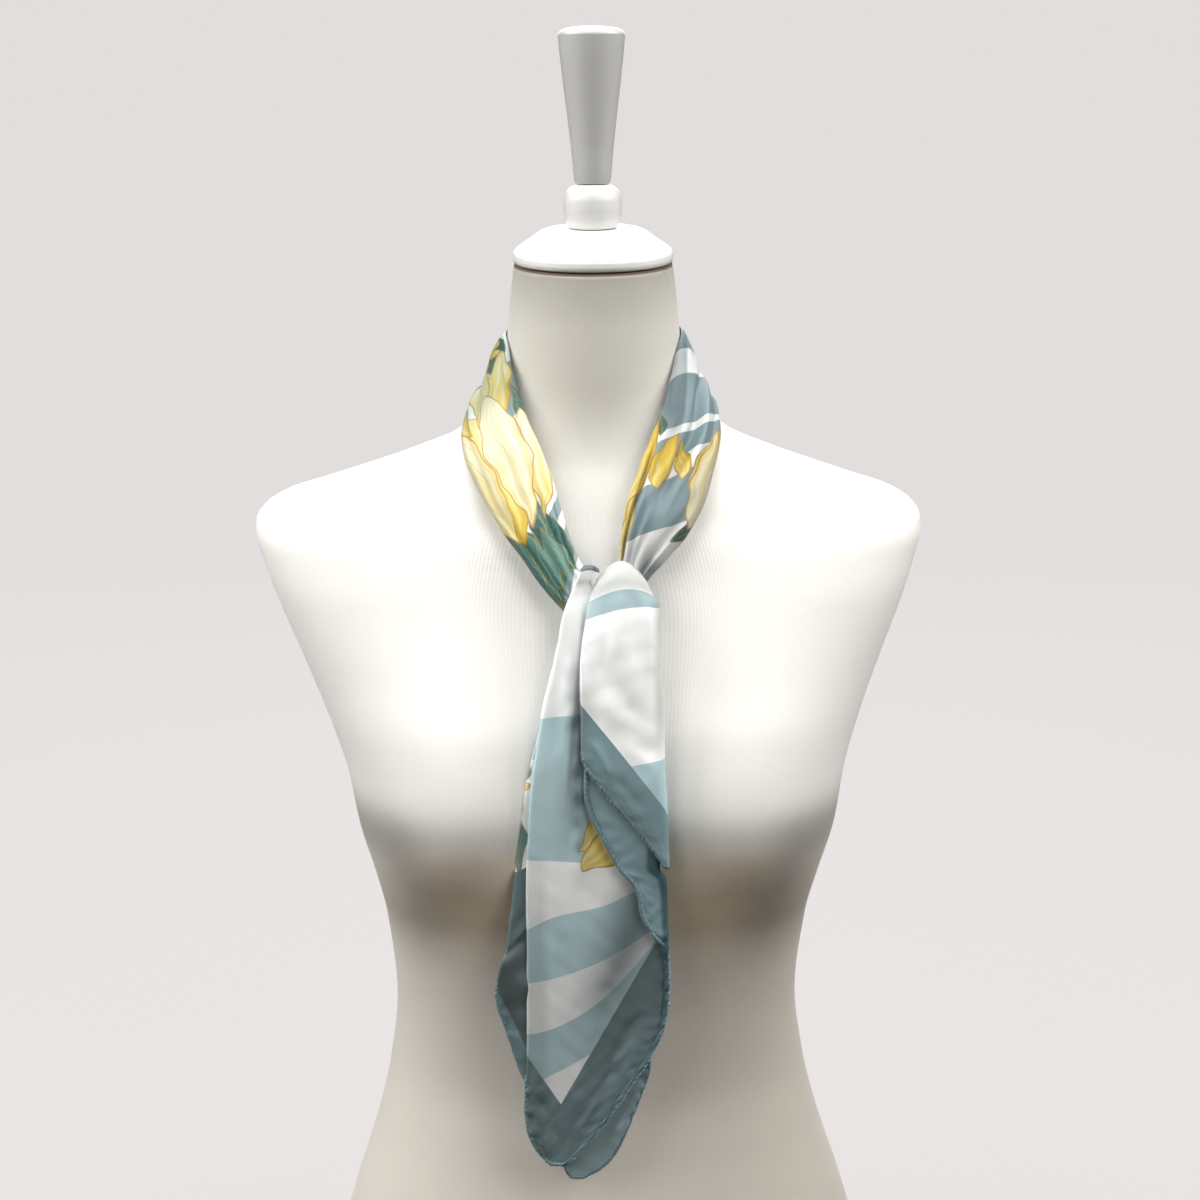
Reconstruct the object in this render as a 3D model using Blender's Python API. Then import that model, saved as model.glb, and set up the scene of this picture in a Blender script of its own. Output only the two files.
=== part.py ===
"""A silk square scarf, tied loosely round the neck of a limbless dress form.

The form is a padded torso with a turned wooden neck cap, ball and handle. The scarf is a square of thin
silk: its middle, gathered into a soft band, goes round the neck, its two ends cross in one knot on the
chest, and they hang down as tails. Each stretch of cloth that shows is a thin wall of its own.

Blender's units are metres, +Z is up, -Y is the front, and the origin is the middle of the form's flat base.
The tables are in millimetres.
"""

import math

import bpy
import numpy as np

MM = 0.001
SEAM = 0.3  # between two pieces that meet
WALL = 1.2  # a stretch of cloth, with the air between its layers
COVER_CLEARANCE = 1.9  # from the middle of a cloth wall to the form's smooth surface

# The form. A section is an ellipse with a squareness: 2 is round, more is boxier. sway is how far its middle
# lies to the side: the padding isn't quite even.
FORM_COLUMNS = ("height", "half_width", "front", "back", "squareness", "sway")
FORM_ROWS = (
    (0, 159.0, 99.0, 112.0, 2.3, -0.8),
    (4, 162.0, 102.0, 115.0, 2.3, -0.8),
    (48, 164.5, 104.0, 118.0, 2.3, -0.8),
    (97, 152.5, 101.0, 115.0, 2.3, -0.8),
    (156, 133.8, 91.0, 101.0, 2.25, -1.0),
    (190, 125.8, 86.0, 92.0, 2.2, -1.2),
    (234, 120.6, 84.0, 84.0, 2.2, -1.4),
    (286, 125.6, 88.0, 86.0, 2.25, -0.9),
    (317, 132.8, 92.0, 91.0, 2.3, -0.3),
    (348, 141.0, 96.0, 96.0, 2.4, 0.0),
    (380, 146.4, 98.0, 101.0, 2.5, -0.4),
    (410, 155.6, 98.0, 105.0, 2.55, -1.2),
    (441, 167.4, 94.0, 107.0, 2.6, -2.0),
    (481, 183.6, 84.0, 106.0, 2.6, -3.0),
    (502, 190.8, 77.5, 103.0, 2.6, -3.6),
    (515, 194.2, 72.5, 99.0, 2.55, -3.9),
    (523, 193.8, 69.0, 96.0, 2.5, -4.0),
    (530, 189.5, 66.0, 92.0, 2.45, -4.0),
    (537, 178.5, 63.5, 88.0, 2.4, -3.8),
    (543, 160.0, 61.5, 84.0, 2.35, -3.0),
    (551, 135.6, 59.0, 79.0, 2.3, -2.0),
    (560, 109.5, 56.5, 74.0, 2.25, -1.2),
    (573, 79.0, 54.5, 67.0, 2.2, -0.5),
    (590, 61.0, 53.0, 61.5, 2.1, 0.0),
    (607, 53.3, 52.0, 58.0, 2.05, 0.0),
    (630, 49.7, 50.5, 54.0, 2.0, 0.0),
    (653, 47.6, 48.5, 50.0, 2.0, 0.0),
    (669, 45.4, 45.8, 46.2, 2.0, 0.0),
)
BUST_HEIGHT = 374
BUST_APART = 82  # from the middle plane to each apex
BUST_DEPTH = 27
BUST_SPREAD = 42  # sideways
BUST_RISE = 60  # above the apex
BUST_FALL = 37  # below it
NECK_LEAN = math.tan(math.radians(4.5))  # the neck's cut face and its cap tip forward
NECK_LEAN_FROM = 630
FORM_RING_RISE = 17  # the most height between two rings
FORM_RING_FLARE = 15  # and the most that the half width changes
FORM_SIDES = 40

# The turned wood: radius and height, from the foot up.
WOOD_SIDES = 28
CAP_PROFILE = (
    (0, 669.4),
    (44.4, 669.4),
    (45.6, 670.3),
    (46.2, 672.6),
    (45.9, 675.0),
    (44.3, 677.2),
    (39.5, 680.8),
    (33.5, 685.0),
    (30.2, 687.3),
    (27.4, 688.4),
    (22.0, 688.8),
    (0, 688.9),
)
BALL_PROFILE = (
    (0, 689.2),
    (14.2, 689.2),
    (15.6, 693.0),
    (16.4, 698.5),
    (16.5, 703.5),
    (15.9, 707.7),
    (14.2, 711.0),
    (11.2, 713.0),
    (8.0, 713.4),
    (0, 713.4),
)
HANDLE_PROFILE = (
    (0, 713.7),
    (9.9, 713.7),
    (12.1, 734.0),
    (14.5, 755.0),
    (17.0, 776.0),
    (19.1, 796.6),
    (18.6, 798.0),
    (16.2, 799.8),
    (11.0, 801.0),
    (0, 801.6),
)

# The neck band's middle line, from the knot up the wearer's right side (left here), round the back of the
# neck and down the other side. out_x, out_y, out_z is the way that its outer face looks.
BAND_COLUMNS = (
    "x",
    "y",
    "z",
    "out_x",
    "out_y",
    "out_z",
    "half_width",
    "half_thickness",
)
BAND_ROWS = (
    (-7.0, -94.5, 490, -0.05, -0.96, 0.25, 11.5, 5.0),
    (-16.0, -91.0, 500, -0.08, -0.95, 0.30, 12.0, 5.8),
    (-25.5, -84.0, 515, -0.12, -0.93, 0.33, 14.0, 7.0),
    (-36.5, -74.5, 536, -0.20, -0.90, 0.38, 18.0, 8.0),
    (-47.8, -61.5, 559, -0.33, -0.85, 0.42, 21.0, 8.0),
    (-56.8, -45.0, 579, -0.55, -0.76, 0.40, 21.5, 7.5),
    (-59.5, -24.0, 597, -0.82, -0.45, 0.38, 22.0, 6.0),
    (-57.0, 1.0, 608, -0.96, -0.05, 0.30, 22.5, 4.2),
    (-48.0, 33.0, 610, -0.83, 0.52, 0.25, 22.0, 4.2),
    (-29.0, 55.5, 611, -0.42, 0.90, 0.20, 22.0, 4.5),
    (0.0, 63.5, 610, 0.00, 1.00, 0.20, 22.0, 4.5),
    (29.0, 55.5, 611, 0.42, 0.90, 0.20, 22.0, 4.5),
    (48.0, 33.0, 611, 0.83, 0.52, 0.25, 22.0, 4.2),
    (56.0, 3.0, 610, 0.96, -0.05, 0.30, 21.5, 4.0),
    (57.5, -22.0, 599, 0.82, -0.45, 0.38, 20.5, 5.6),
    (55.5, -43.0, 584, 0.60, -0.72, 0.40, 19.5, 7.0),
    (49.5, -58.0, 567, 0.36, -0.84, 0.42, 20.0, 7.5),
    (42.5, -68.5, 549, 0.22, -0.90, 0.38, 20.5, 8.0),
    (35.0, -77.0, 533, 0.15, -0.92, 0.35, 19.0, 8.0),
    (27.5, -83.0, 518, 0.12, -0.94, 0.32, 14.5, 6.0),
    (22.0, -84.5, 507, 0.10, -0.95, 0.30, 10.5, 3.6),
    (18.0, -85.0, 499, 0.08, -0.96, 0.25, 9.0, 3.0),
)
BAND_SQUARENESS = 2.3
BAND_MOUTH = 62  # half the open side of its section, in degrees, which faces the form
BAND_STEPS = 22  # points across
BACK_STARTS = 7.3  # the rows between which the back stretch lies
BACK_ENDS = 12.7
BAND_SEAM = 0.02  # between two stretches, as a share of a row, which is about 23 mm long
SIDE_STATIONS = 17
BACK_STATIONS = 11

# Long creases in the band: where each starts and ends along the rows, its place across in degrees at both
# ends (0 is the upper edge, 90 the middle of the outer face), its depth and its half-width in degrees.
CREASE_COLUMNS = ("start", "end", "from_angle", "to_angle", "depth", "spread")
BAND_CREASES = (
    (13.0, 17.6, 92, 84, 3.2, 13),
    (16.4, 21.0, 128, 100, 2.0, 12),
    (15.5, 21.0, 40, 52, 2.2, 12),
    (0.0, 4.6, 70, 60, 1.8, 13),
    (0.0, 3.4, 122, 128, 1.8, 13),
)

# The bundle of cloth inside the knot, from its foot up: its two sides, and its middle in depth.
KNOT_COLUMNS = ("height", "left", "right", "depth", "half_depth")
KNOT_ROWS = (
    (478.5, -1.0, 11.0, 94.0, 2.2),
    (480.5, -3.0, 15.0, 94.0, 4.6),
    (486.0, -2.5, 14.5, 94.0, 5.8),
    (492.0, 0.0, 12.0, 94.0, 6.0),
    (498.0, 3.0, 9.6, 94.2, 5.6),
    (501.0, 4.2, 8.6, 94.4, 3.0),
)
KNOT_SIDES = 18
KNOT_PLEATS = 5
KNOT_PLEAT_DEPTH = 0.5

# Each tail is a strip of cloth whose sides turn under. For a section at one height: where its two sides
# are, how far its face stands in front of the middle plane, how much it bellies out, the radius of the turn
# at each side, and the length of cloth beyond the turn. arch is how far the sides lie below the middle.
TAIL_COLUMNS = (
    "height",
    "left",
    "right",
    "depth",
    "belly",
    "arch",
    "left_turn",
    "left_under",
    "right_turn",
    "right_under",
)
# The upper tail comes up behind the knot, over it and down the front, and wraps round the others' side.
OVER_TAIL_ROWS = (
    (506.0, 4.0, 22.0, 91.2, 0.0, 3.0, 0.9, 1.5, 0.9, 1.5),
    (509.5, 3.8, 23.0, 91.8, 0.0, 5.5, 0.9, 1.5, 0.9, 1.5),
    (511.8, 3.6, 24.3, 94.0, 0.0, 7.5, 0.9, 1.5, 0.9, 1.5),
    (512.4, 3.4, 25.5, 98.0, 0.0, 8.5, 0.9, 1.5, 0.9, 1.5),
    (511.8, 2.3, 27.0, 102.5, 0.3, 8.5, 0.9, 1.5, 1.2, 1.5),
    (508.8, 0.8, 28.8, 106.5, 0.8, 8.0, 0.9, 2.0, 1.9, 2.5),
    (503.0, -1.6, 31.0, 109.4, 1.8, 6.5, 2.0, 3.0, 3.2, 5.0),
    (494.0, -3.6, 35.0, 111.6, 2.6, 4.5, 2.4, 4.0, 4.2, 6.0),
    (484.0, -5.4, 35.2, 114.0, 3.0, 3.0, 2.5, 5.0, 4.6, 6.0),
    (471.0, -7.4, 34.8, 116.5, 3.2, 1.5, 2.7, 6.0, 4.9, 6.0),
    (455.0, -8.6, 35.5, 118.6, 3.4, 0.6, 2.8, 7.0, 5.1, 7.0),
    (439.0, -8.4, 37.1, 120.4, 3.4, 0.0, 2.6, 7.0, 4.9, 12.0),
    (425.0, -8.2, 37.6, 121.9, 3.0, 0.0, 2.0, 5.0, 4.5, 12.0),
    (413.0, -8.3, 37.4, 123.8, 2.4, 0.0, 1.3, 2.5, 4.6, 12.0),
    (404.0, -6.0, 37.6, 125.4, 2.0, 0.0, 0.9, 1.5, 4.9, 12.0),
    (394.0, 0.8, 38.1, 126.6, 1.6, 0.0, 0.9, 1.5, 5.0, 12.0),
    (382.0, 10.6, 38.6, 127.2, 1.2, 0.0, 0.9, 1.5, 5.2, 11.0),
    (371.0, 19.6, 39.1, 127.4, 0.8, 0.0, 0.9, 1.5, 5.1, 10.0),
    (362.0, 27.0, 39.4, 127.4, 0.3, 0.0, 0.9, 1.5, 5.0, 5.0),
    (355.5, 32.0, 39.6, 127.4, 0.0, 0.0, 0.9, 1.2, 4.6, 0.6),
    (349.0, 35.6, 39.8, 127.3, 0.0, 0.0, 0.9, 0.4, 3.0, 0.3),
    (342.0, 36.6, 39.9, 127.2, 0.0, 0.0, 0.9, 0.3, 2.2, 0.3),
    (335.0, 37.1, 39.9, 127.0, 0.0, 0.0, 0.9, 0.3, 1.7, 0.3),
)
# The main tail hangs from the knot to its corner. Its right side folds forward as a lapel.
MAIN_TAIL_ROWS = (
    (508.8, -7.6, -0.4, 101.8, 0.0, 0.5, 0.9, 1.5, 0.9, 1.5),
    (504.0, -9.8, 0.3, 101.8, 0.0, 0.5, 0.9, 1.5, 0.9, 1.5),
    (500.0, -11.4, 1.0, 101.4, 0.0, 0.2, 0.9, 1.8, 0.9, 1.5),
    (495.0, -13.4, 6.4, 101.9, 0.0, 0.0, 0.9, 2.0, 0.9, 1.5),
    (484.0, -17.6, 15.0, 104.8, 0.3, 0.0, 1.2, 3.5, 0.9, 1.5),
    (469.0, -20.6, 19.0, 107.6, 0.5, 0.0, 1.6, 7.0, 0.9, 1.5),
    (452.0, -24.6, 22.4, 110.4, 0.5, 0.0, 1.9, 11.0, 0.9, 1.5),
    (437.0, -28.6, 30.0, 112.9, 0.4, 0.0, 1.9, 14.0, 1.2, 3.0),
    (424.0, -30.9, 33.0, 114.8, 0.4, 0.0, 1.9, 14.0, 1.8, 11.0),
    (410.0, -33.2, 35.0, 116.8, 0.4, 0.0, 1.8, 14.0, 2.2, 29.0),
    (402.0, -34.4, 35.7, 117.8, 0.3, 0.0, 1.5, 14.0, 2.2, 39.0),
    (388.0, -36.1, 35.9, 118.7, 0.2, 0.0, 1.5, 14.0, 2.2, 39.5),
    (376.0, -37.2, 36.2, 119.2, 0.0, 0.0, 1.5, 14.0, 2.2, 37.1),
    (363.0, -38.0, 35.4, 119.4, 0.0, 0.0, 1.5, 14.0, 2.2, 30.3),
    (345.0, -39.0, 34.6, 119.5, 0.0, 0.0, 1.5, 14.0, 2.2, 20.7),
    (330.0, -39.5, 35.0, 119.5, 0.0, 0.0, 1.7, 14.0, 2.2, 13.4),
    (319.0, -39.5, 38.9, 119.5, 0.0, 0.0, 1.7, 14.0, 2.2, 12.0),
    (307.0, -39.4, 39.2, 119.5, 0.0, 0.0, 1.7, 14.0, 2.2, 6.4),
    (297.0, -39.4, 39.2, 119.5, 0.0, 0.0, 1.7, 14.0, 1.5, 1.7),
    (284.0, -39.6, 39.5, 119.5, 0.0, 0.0, 1.7, 14.0, 0.9, 1.5),
    (268.0, -39.8, 39.2, 119.5, 0.0, 0.0, 1.7, 14.0, 0.9, 1.5),
    (252.0, -40.0, 36.9, 119.6, 0.0, 0.0, 1.7, 13.0, 0.9, 1.5),
    (235.0, -40.3, 29.5, 119.7, 0.0, 0.0, 1.5, 8.0, 0.9, 1.5),
    (218.0, -41.0, 18.6, 119.8, 0.0, 0.0, 0.9, 1.5, 0.9, 1.5),
    (200.0, -41.4, 7.0, 119.8, 0.0, 0.0, 0.9, 1.5, 0.9, 1.5),
    (186.0, -39.2, -3.5, 119.8, 0.0, 0.0, 0.9, 1.5, 0.9, 1.5),
    (175.0, -33.6, -13.2, 119.8, 0.0, 0.0, 0.9, 1.5, 0.9, 1.5),
    (169.0, -28.0, -18.6, 119.8, 0.0, 0.0, 0.9, 1.5, 0.9, 1.5),
)
# The under tail is the back of the upper one, and hangs behind the main one to a corner of its own.
UNDER_TAIL_ROWS = (
    (474.0, -10.0, 16.0, 96.6, 0.0, 0.0, 0.9, 1.5, 0.9, 1.5),
    (455.0, -17.0, 22.0, 100.8, 0.0, 0.0, 0.9, 1.5, 0.9, 1.5),
    (435.0, -23.5, 26.0, 104.9, 0.0, 0.0, 0.9, 1.5, 0.9, 1.5),
    (415.0, -32.4, 29.0, 108.8, 0.0, 0.0, 0.9, 1.5, 0.9, 1.5),
    (398.0, -37.2, 31.0, 111.5, 0.0, 0.0, 0.9, 1.5, 0.9, 1.5),
    (383.0, -40.3, 32.4, 113.3, 0.0, 0.0, 1.4, 3.0, 0.9, 1.5),
    (368.0, -42.5, 33.4, 114.2, 0.0, 0.0, 1.6, 5.0, 0.9, 1.5),
    (345.0, -45.0, 34.0, 114.4, 0.0, 0.0, 1.6, 8.0, 0.9, 1.5),
    (318.0, -48.2, 34.0, 114.4, 0.0, 0.0, 1.6, 10.0, 0.9, 1.5),
    (294.0, -51.9, 34.0, 114.4, 0.0, 0.0, 1.6, 10.0, 0.9, 1.5),
    (281.0, -55.8, 34.0, 114.4, 0.0, 0.0, 1.4, 6.0, 0.9, 1.5),
    (272.0, -57.3, 34.0, 114.4, 0.0, 0.0, 0.9, 1.5, 0.9, 1.5),
    (263.0, -56.6, 33.6, 114.4, 0.0, 0.0, 0.9, 1.5, 0.9, 1.5),
    (243.0, -50.0, 30.0, 114.4, 0.0, 0.0, 0.9, 1.5, 0.9, 1.5),
    (224.0, -43.6, 28.9, 114.4, 0.0, 0.0, 0.9, 1.5, 0.9, 1.5),
    (213.0, -39.0, 25.6, 114.4, 0.0, 0.0, 0.9, 1.5, 0.9, 1.5),
    (190.0, -30.0, 17.0, 114.4, 0.0, 0.0, 0.9, 1.5, 0.9, 1.5),
    (173.0, -23.0, 9.5, 114.4, 0.0, 0.0, 0.9, 1.5, 0.9, 1.5),
    (164.0, -19.6, 1.0, 114.4, 0.0, 0.0, 0.9, 1.5, 0.9, 1.5),
    (158.6, -16.6, -8.0, 114.4, 0.0, 0.0, 0.9, 1.5, 0.9, 1.5),
)
BEHIND = 1  # the way a side turns
FORWARD = -1

WHITE_JERSEY = (0.80, 0.79, 0.76)
WHITE_PAINT = (0.86, 0.86, 0.85)
SILK_WHITE = (0.80, 0.80, 0.77)
SILK_BLUE = (0.24, 0.36, 0.40)
SILK_YELLOW = (0.75, 0.66, 0.32)


def column(columns, rows, name):
    """One named column of a table."""
    place = columns.index(name)
    return np.array([row[place] for row in rows], float)


def through(xs, ys, x):
    """The smooth curve through the points (xs, ys), read at x. It never overshoots its points."""
    step = np.diff(xs)
    rise = np.diff(ys) / step
    slope = np.zeros(len(xs))
    same_way = rise[:-1] * rise[1:] > 0
    slope[1:-1][same_way] = (
        2 * (rise[:-1] * rise[1:])[same_way] / (rise[:-1] + rise[1:])[same_way]
    )
    slope[0] = rise[0]
    slope[-1] = rise[-1]
    i = np.clip(np.searchsorted(xs, x) - 1, 0, len(step) - 1)
    t = np.clip((x - xs[i]) / step[i], 0, 1)
    return (
        ys[i] * (1 + 2 * t) * (1 - t) ** 2
        + ys[i + 1] * (3 - 2 * t) * t**2
        + step[i] * (slope[i] * t * (1 - t) ** 2 - slope[i + 1] * (1 - t) * t**2)
    )


def ease(t):
    """0 below 0, 1 above 1, and a smooth step between."""
    t = np.clip(t, 0, 1)
    return t * t * (3 - 2 * t)


def form_size(name, height):
    heights = column(FORM_COLUMNS, FORM_ROWS, "height")
    return through(heights, column(FORM_COLUMNS, FORM_ROWS, name), height)


def bust(x, z):
    """How far the bust stands out from the chest's plain section."""
    reach = np.where(z > BUST_HEIGHT, BUST_RISE, BUST_FALL)
    along = np.exp(-(((z - BUST_HEIGHT) / reach) ** 2) / 2)
    left = np.exp(-(((x + BUST_APART) / BUST_SPREAD) ** 2) / 2)
    right = np.exp(-(((x - BUST_APART) / BUST_SPREAD) ** 2) / 2)
    return BUST_DEPTH * along * (left + right)


def form_point(height, angle):
    """The form's surface at one height, at angles from +X towards +Y."""
    half_width = form_size("half_width", height)
    squareness = form_size("squareness", height)
    c = np.cos(angle)
    s = np.sin(angle)
    depth = np.where(s < 0, form_size("front", height), form_size("back", height))
    x = half_width * np.sign(c) * np.abs(c) ** (2 / squareness)
    y = depth * np.sign(s) * np.abs(s) ** (2 / squareness)
    frontness = ease(-y / depth / 0.6)
    x = x + form_size("sway", height)
    lean = ease((height - NECK_LEAN_FROM) / (FORM_ROWS[-1][0] - NECK_LEAN_FROM))
    return np.stack(
        [x, y - bust(x, height) * frontness, height + y * NECK_LEAN * lean], axis=-1
    )


def outside_form(points):
    """How far each point lies outside the form, along its own level, as a number that is 0 on the surface."""
    x, y, z = np.moveaxis(points, -1, 0)
    front = form_size("front", z)
    y = y + bust(x, z) * ease(-y / front / 0.6)
    x = x - form_size("sway", z)
    depth = np.where(y < 0, front, form_size("back", z))
    n = form_size("squareness", z)
    share = (
        np.abs(x / form_size("half_width", z)) ** n + np.abs(y / depth) ** n
    ) ** (1 / n)
    return np.hypot(x, y) * (1 - 1 / np.maximum(share, 0.05))


def clear_of_form(points, clearance=COVER_CLEARANCE):
    """The points, with any that come too near the form moved straight out from its surface."""
    small = 0.05
    for _ in range(6):
        level = outside_form(points)
        slope = np.stack(
            [
                (outside_form(points + small * axis) - level) / small
                for axis in np.eye(3)
            ],
            axis=-1,
        )
        size = np.linalg.norm(slope, axis=-1, keepdims=True)
        short = np.clip(clearance - level / size[..., 0], 0, 3)
        points = points + slope / size * short[..., None]
    return points


def plain_material(name, colour, roughness):
    material = bpy.data.materials.new(name)
    material.use_nodes = True
    shader = material.node_tree.nodes["Principled BSDF"]
    shader.inputs["Base Color"].default_value = (*colour, 1)
    shader.inputs["Roughness"].default_value = roughness
    shader.inputs["Metallic"].default_value = 0
    return material


def solid(name, points, faces, material):
    """One closed body, from points in millimetres."""
    mesh = bpy.data.meshes.new(name)
    mesh.from_pydata((np.asarray(points) * MM).tolist(), [], faces)
    mesh.materials.append(material)
    mesh.shade_smooth()
    mesh.set_sharp_from_angle(angle=math.radians(50))
    body = bpy.data.objects.new(name, mesh)
    bpy.context.collection.objects.link(body)
    return body


def rings_to_solid(name, rings, material):
    """A body through closed rings of points, from the lowest up, with flat ends."""
    sides = len(rings[0])
    faces = [
        (
            r * sides + s,
            r * sides + (s + 1) % sides,
            (r + 1) * sides + (s + 1) % sides,
            (r + 1) * sides + s,
        )
        for r in range(len(rings) - 1)
        for s in range(sides)
    ]
    faces.append(tuple(range(sides))[::-1])
    faces.append(tuple((len(rings) - 1) * sides + s for s in range(sides)))
    return solid(name, np.concatenate(rings), faces, material)


def face_normal(middle):
    """The way that each point of a grid faces."""
    along = np.gradient(middle, axis=0)
    across = np.gradient(middle, axis=1)
    normal = np.cross(across, along)
    return normal / np.linalg.norm(normal, axis=-1, keepdims=True)


def cloth_wall(name, middle, normal, material):
    """A wall of cloth on both sides of a grid of points, closed round its edges."""
    rows, steps = middle.shape[:2]
    outer = middle + normal * WALL / 2
    inner = middle - normal * WALL / 2
    points = np.concatenate([outer.reshape(-1, 3), inner.reshape(-1, 3)])
    under = rows * steps
    faces = []
    for r in range(rows - 1):
        for s in range(steps - 1):
            a = r * steps + s
            b = a + 1
            c = a + steps + 1
            d = a + steps
            faces.append((a, b, c, d))
            faces.append((under + d, under + c, under + b, under + a))
    top = list(range(steps))
    right = [r * steps + steps - 1 for r in range(rows)]
    bottom = [(rows - 1) * steps + s for s in range(steps)][::-1]
    left = [r * steps for r in range(rows)][::-1]
    rim = top[:-1] + right[:-1] + bottom[:-1] + left[:-1]
    for a, b in zip(rim, rim[1:] + rim[:1]):
        faces.append((b, a, under + a, under + b))
    return solid(name, points, faces, material)


def form_body(material):
    rows = column(FORM_COLUMNS, FORM_ROWS, "height")
    widths = column(FORM_COLUMNS, FORM_ROWS, "half_width")
    rises = np.diff(rows) / FORM_RING_RISE
    flares = np.abs(np.diff(widths)) / FORM_RING_FLARE
    heights = []
    for low, high, rise, flare in zip(rows, rows[1:], rises, flares):
        count = math.ceil(max(rise, flare))
        heights.extend(np.linspace(low, high, count, endpoint=False))
    heights.append(rows[-1] - SEAM)
    angles = np.arange(FORM_SIDES) * 2 * math.pi / FORM_SIDES
    rings = [form_point(height, angles) for height in heights]
    rings_to_solid("form_body", rings, material)


def turned(name, profile, material, lean_below=0.0):
    """A turned piece. Its points below one height tip forward with the neck's cut face."""
    angles = np.arange(WOOD_SIDES) * 2 * math.pi / WOOD_SIDES
    points = []
    for radius, height in profile[1:-1]:
        x = radius * np.cos(angles)
        y = radius * np.sin(angles)
        lean = NECK_LEAN if height < lean_below else 0
        points.append(np.stack([x, y, height + y * lean], axis=-1))
    rings_to_solid(name, points, material)


def band_frame(place):
    """The band's middle point, its way along, up across it and out from it, and its half sizes."""
    rows = np.arange(len(BAND_ROWS), dtype=float)

    def read(name, at):
        return through(rows, column(BAND_COLUMNS, BAND_ROWS, name), at)

    middle = np.stack([read(name, place) for name in ("x", "y", "z")], axis=-1)
    ahead = np.stack([read(name, place + 0.05) for name in ("x", "y", "z")], axis=-1)
    behind = np.stack([read(name, place - 0.05) for name in ("x", "y", "z")], axis=-1)
    along = ahead - behind
    along /= np.linalg.norm(along, axis=-1, keepdims=True)
    out = np.stack([read(name, place) for name in ("out_x", "out_y", "out_z")], axis=-1)
    out -= along * np.sum(out * along, axis=-1, keepdims=True)
    out /= np.linalg.norm(out, axis=-1, keepdims=True)
    up = np.cross(along, out)
    return (
        middle,
        up,
        out,
        read("half_width", place),
        read("half_thickness", place),
    )


def band_points(place):
    """The band's cloth: a soft flat tube, open towards the form, with its long creases."""
    middle, up, out, half_width, half_thickness = band_frame(place)
    angle = np.radians(np.linspace(BAND_MOUTH - 90, 270 - BAND_MOUTH, BAND_STEPS))
    c = np.cos(angle)
    s = np.sin(angle)
    wide = np.sign(c) * np.abs(c) ** (2 / BAND_SQUARENESS)
    high = np.sign(s) * np.abs(s) ** (2 / BAND_SQUARENESS)
    rise = half_thickness[:, None] * high
    for row in BAND_CREASES:
        crease = dict(zip(CREASE_COLUMNS, row))
        share = (place - crease["start"]) / (crease["end"] - crease["start"])
        strength = ease(3 * share) * ease(3 * (1 - share)) * crease["depth"]
        turn = crease["to_angle"] - crease["from_angle"]
        centre = crease["from_angle"] + turn * np.clip(share, 0, 1)
        off = (np.degrees(angle)[None, :] - centre[:, None]) / crease["spread"]
        rise = rise - strength[:, None] * np.exp(-(off**2) / 2)
    return (
        middle[:, None, :]
        + up[:, None, :] * (half_width[:, None] * wide)[..., None]
        + out[:, None, :] * rise[..., None]
    )


def neck_band(materials):
    """The band round the neck, made whole and then cut into its three stretches."""
    last = len(BAND_ROWS) - 1
    stretches = (
        ("scarf_band_left", 0, BACK_STARTS - BAND_SEAM, SIDE_STATIONS),
        ("scarf_band_back", BACK_STARTS, BACK_ENDS, BACK_STATIONS),
        ("scarf_band_right", BACK_ENDS + BAND_SEAM, last, SIDE_STATIONS),
    )
    places = [np.linspace(start, end, count) for _, start, end, count in stretches]
    points = clear_of_form(band_points(np.concatenate(places)))
    normal = face_normal(points)
    first = 0
    for (name, _, _, count), material in zip(stretches, materials):
        rows = slice(first, first + count)
        cloth_wall(name, points[rows], normal[rows], material)
        first += count


def tail_section(row, left_way, right_way):
    """A tail's section at one height: left turn, face and right turn, as points from left to right."""
    size = dict(zip(TAIL_COLUMNS, row))
    left = size["left"]
    right = size["right"]
    turn_l = size["left_turn"]
    turn_r = size["right_turn"]
    depth = size["depth"]
    points = []
    for share in (0, 0.5):
        x = left + turn_l + size["left_under"] * (1 - share)
        points.append((x, -depth + left_way * 2 * turn_l))
    for angle in np.radians((90, 135, 180, 225)):
        x = left + turn_l + turn_l * math.cos(angle)
        points.append((x, -depth + left_way * turn_l * (1 + math.sin(angle))))
    for share in np.linspace(0, 1, 8):
        x = left + turn_l + (right - turn_r - left - turn_l) * share
        points.append((x, -depth - size["belly"] * 4 * share * (1 - share)))
    for angle in np.radians((-45, 0, 45, 90)):
        x = right - turn_r + turn_r * math.cos(angle)
        points.append((x, -depth + right_way * turn_r * (1 + math.sin(angle))))
    for share in (0.25, 0.5, 0.75, 1):
        x = right - turn_r - size["right_under"] * share
        points.append((x, -depth + right_way * 2 * turn_r))
    middle = (left + right) / 2
    half = (right - left) / 2
    return [
        (x, y, size["height"] - size["arch"] * ((x - middle) / half) ** 2)
        for x, y in points
    ]


def tail(name, rows, material, left_way=BEHIND, right_way=BEHIND):
    """A hanging end of the scarf, from its top row down."""
    middle = np.array([tail_section(row, left_way, right_way) for row in rows])
    middle = clear_of_form(middle)
    cloth_wall(name, middle, face_normal(middle), material)


def knot_core(material):
    """The gathered cloth inside the knot, a lump with shallow pleats."""
    angles = np.arange(KNOT_SIDES) * 2 * math.pi / KNOT_SIDES
    rings = []
    for row in KNOT_ROWS:
        size = dict(zip(KNOT_COLUMNS, row))
        half = (size["right"] - size["left"]) / 2
        pleat = KNOT_PLEAT_DEPTH * np.cos(KNOT_PLEATS * angles + size["height"] / 6)
        x = size["left"] + half + (half - pleat) * np.cos(angles)
        y = -size["depth"] + (size["half_depth"] - pleat) * np.sin(angles)
        rings.append(np.stack([x, y, np.full(KNOT_SIDES, size["height"])], axis=-1))
    rings_to_solid("knot_core", rings, material)


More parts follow.
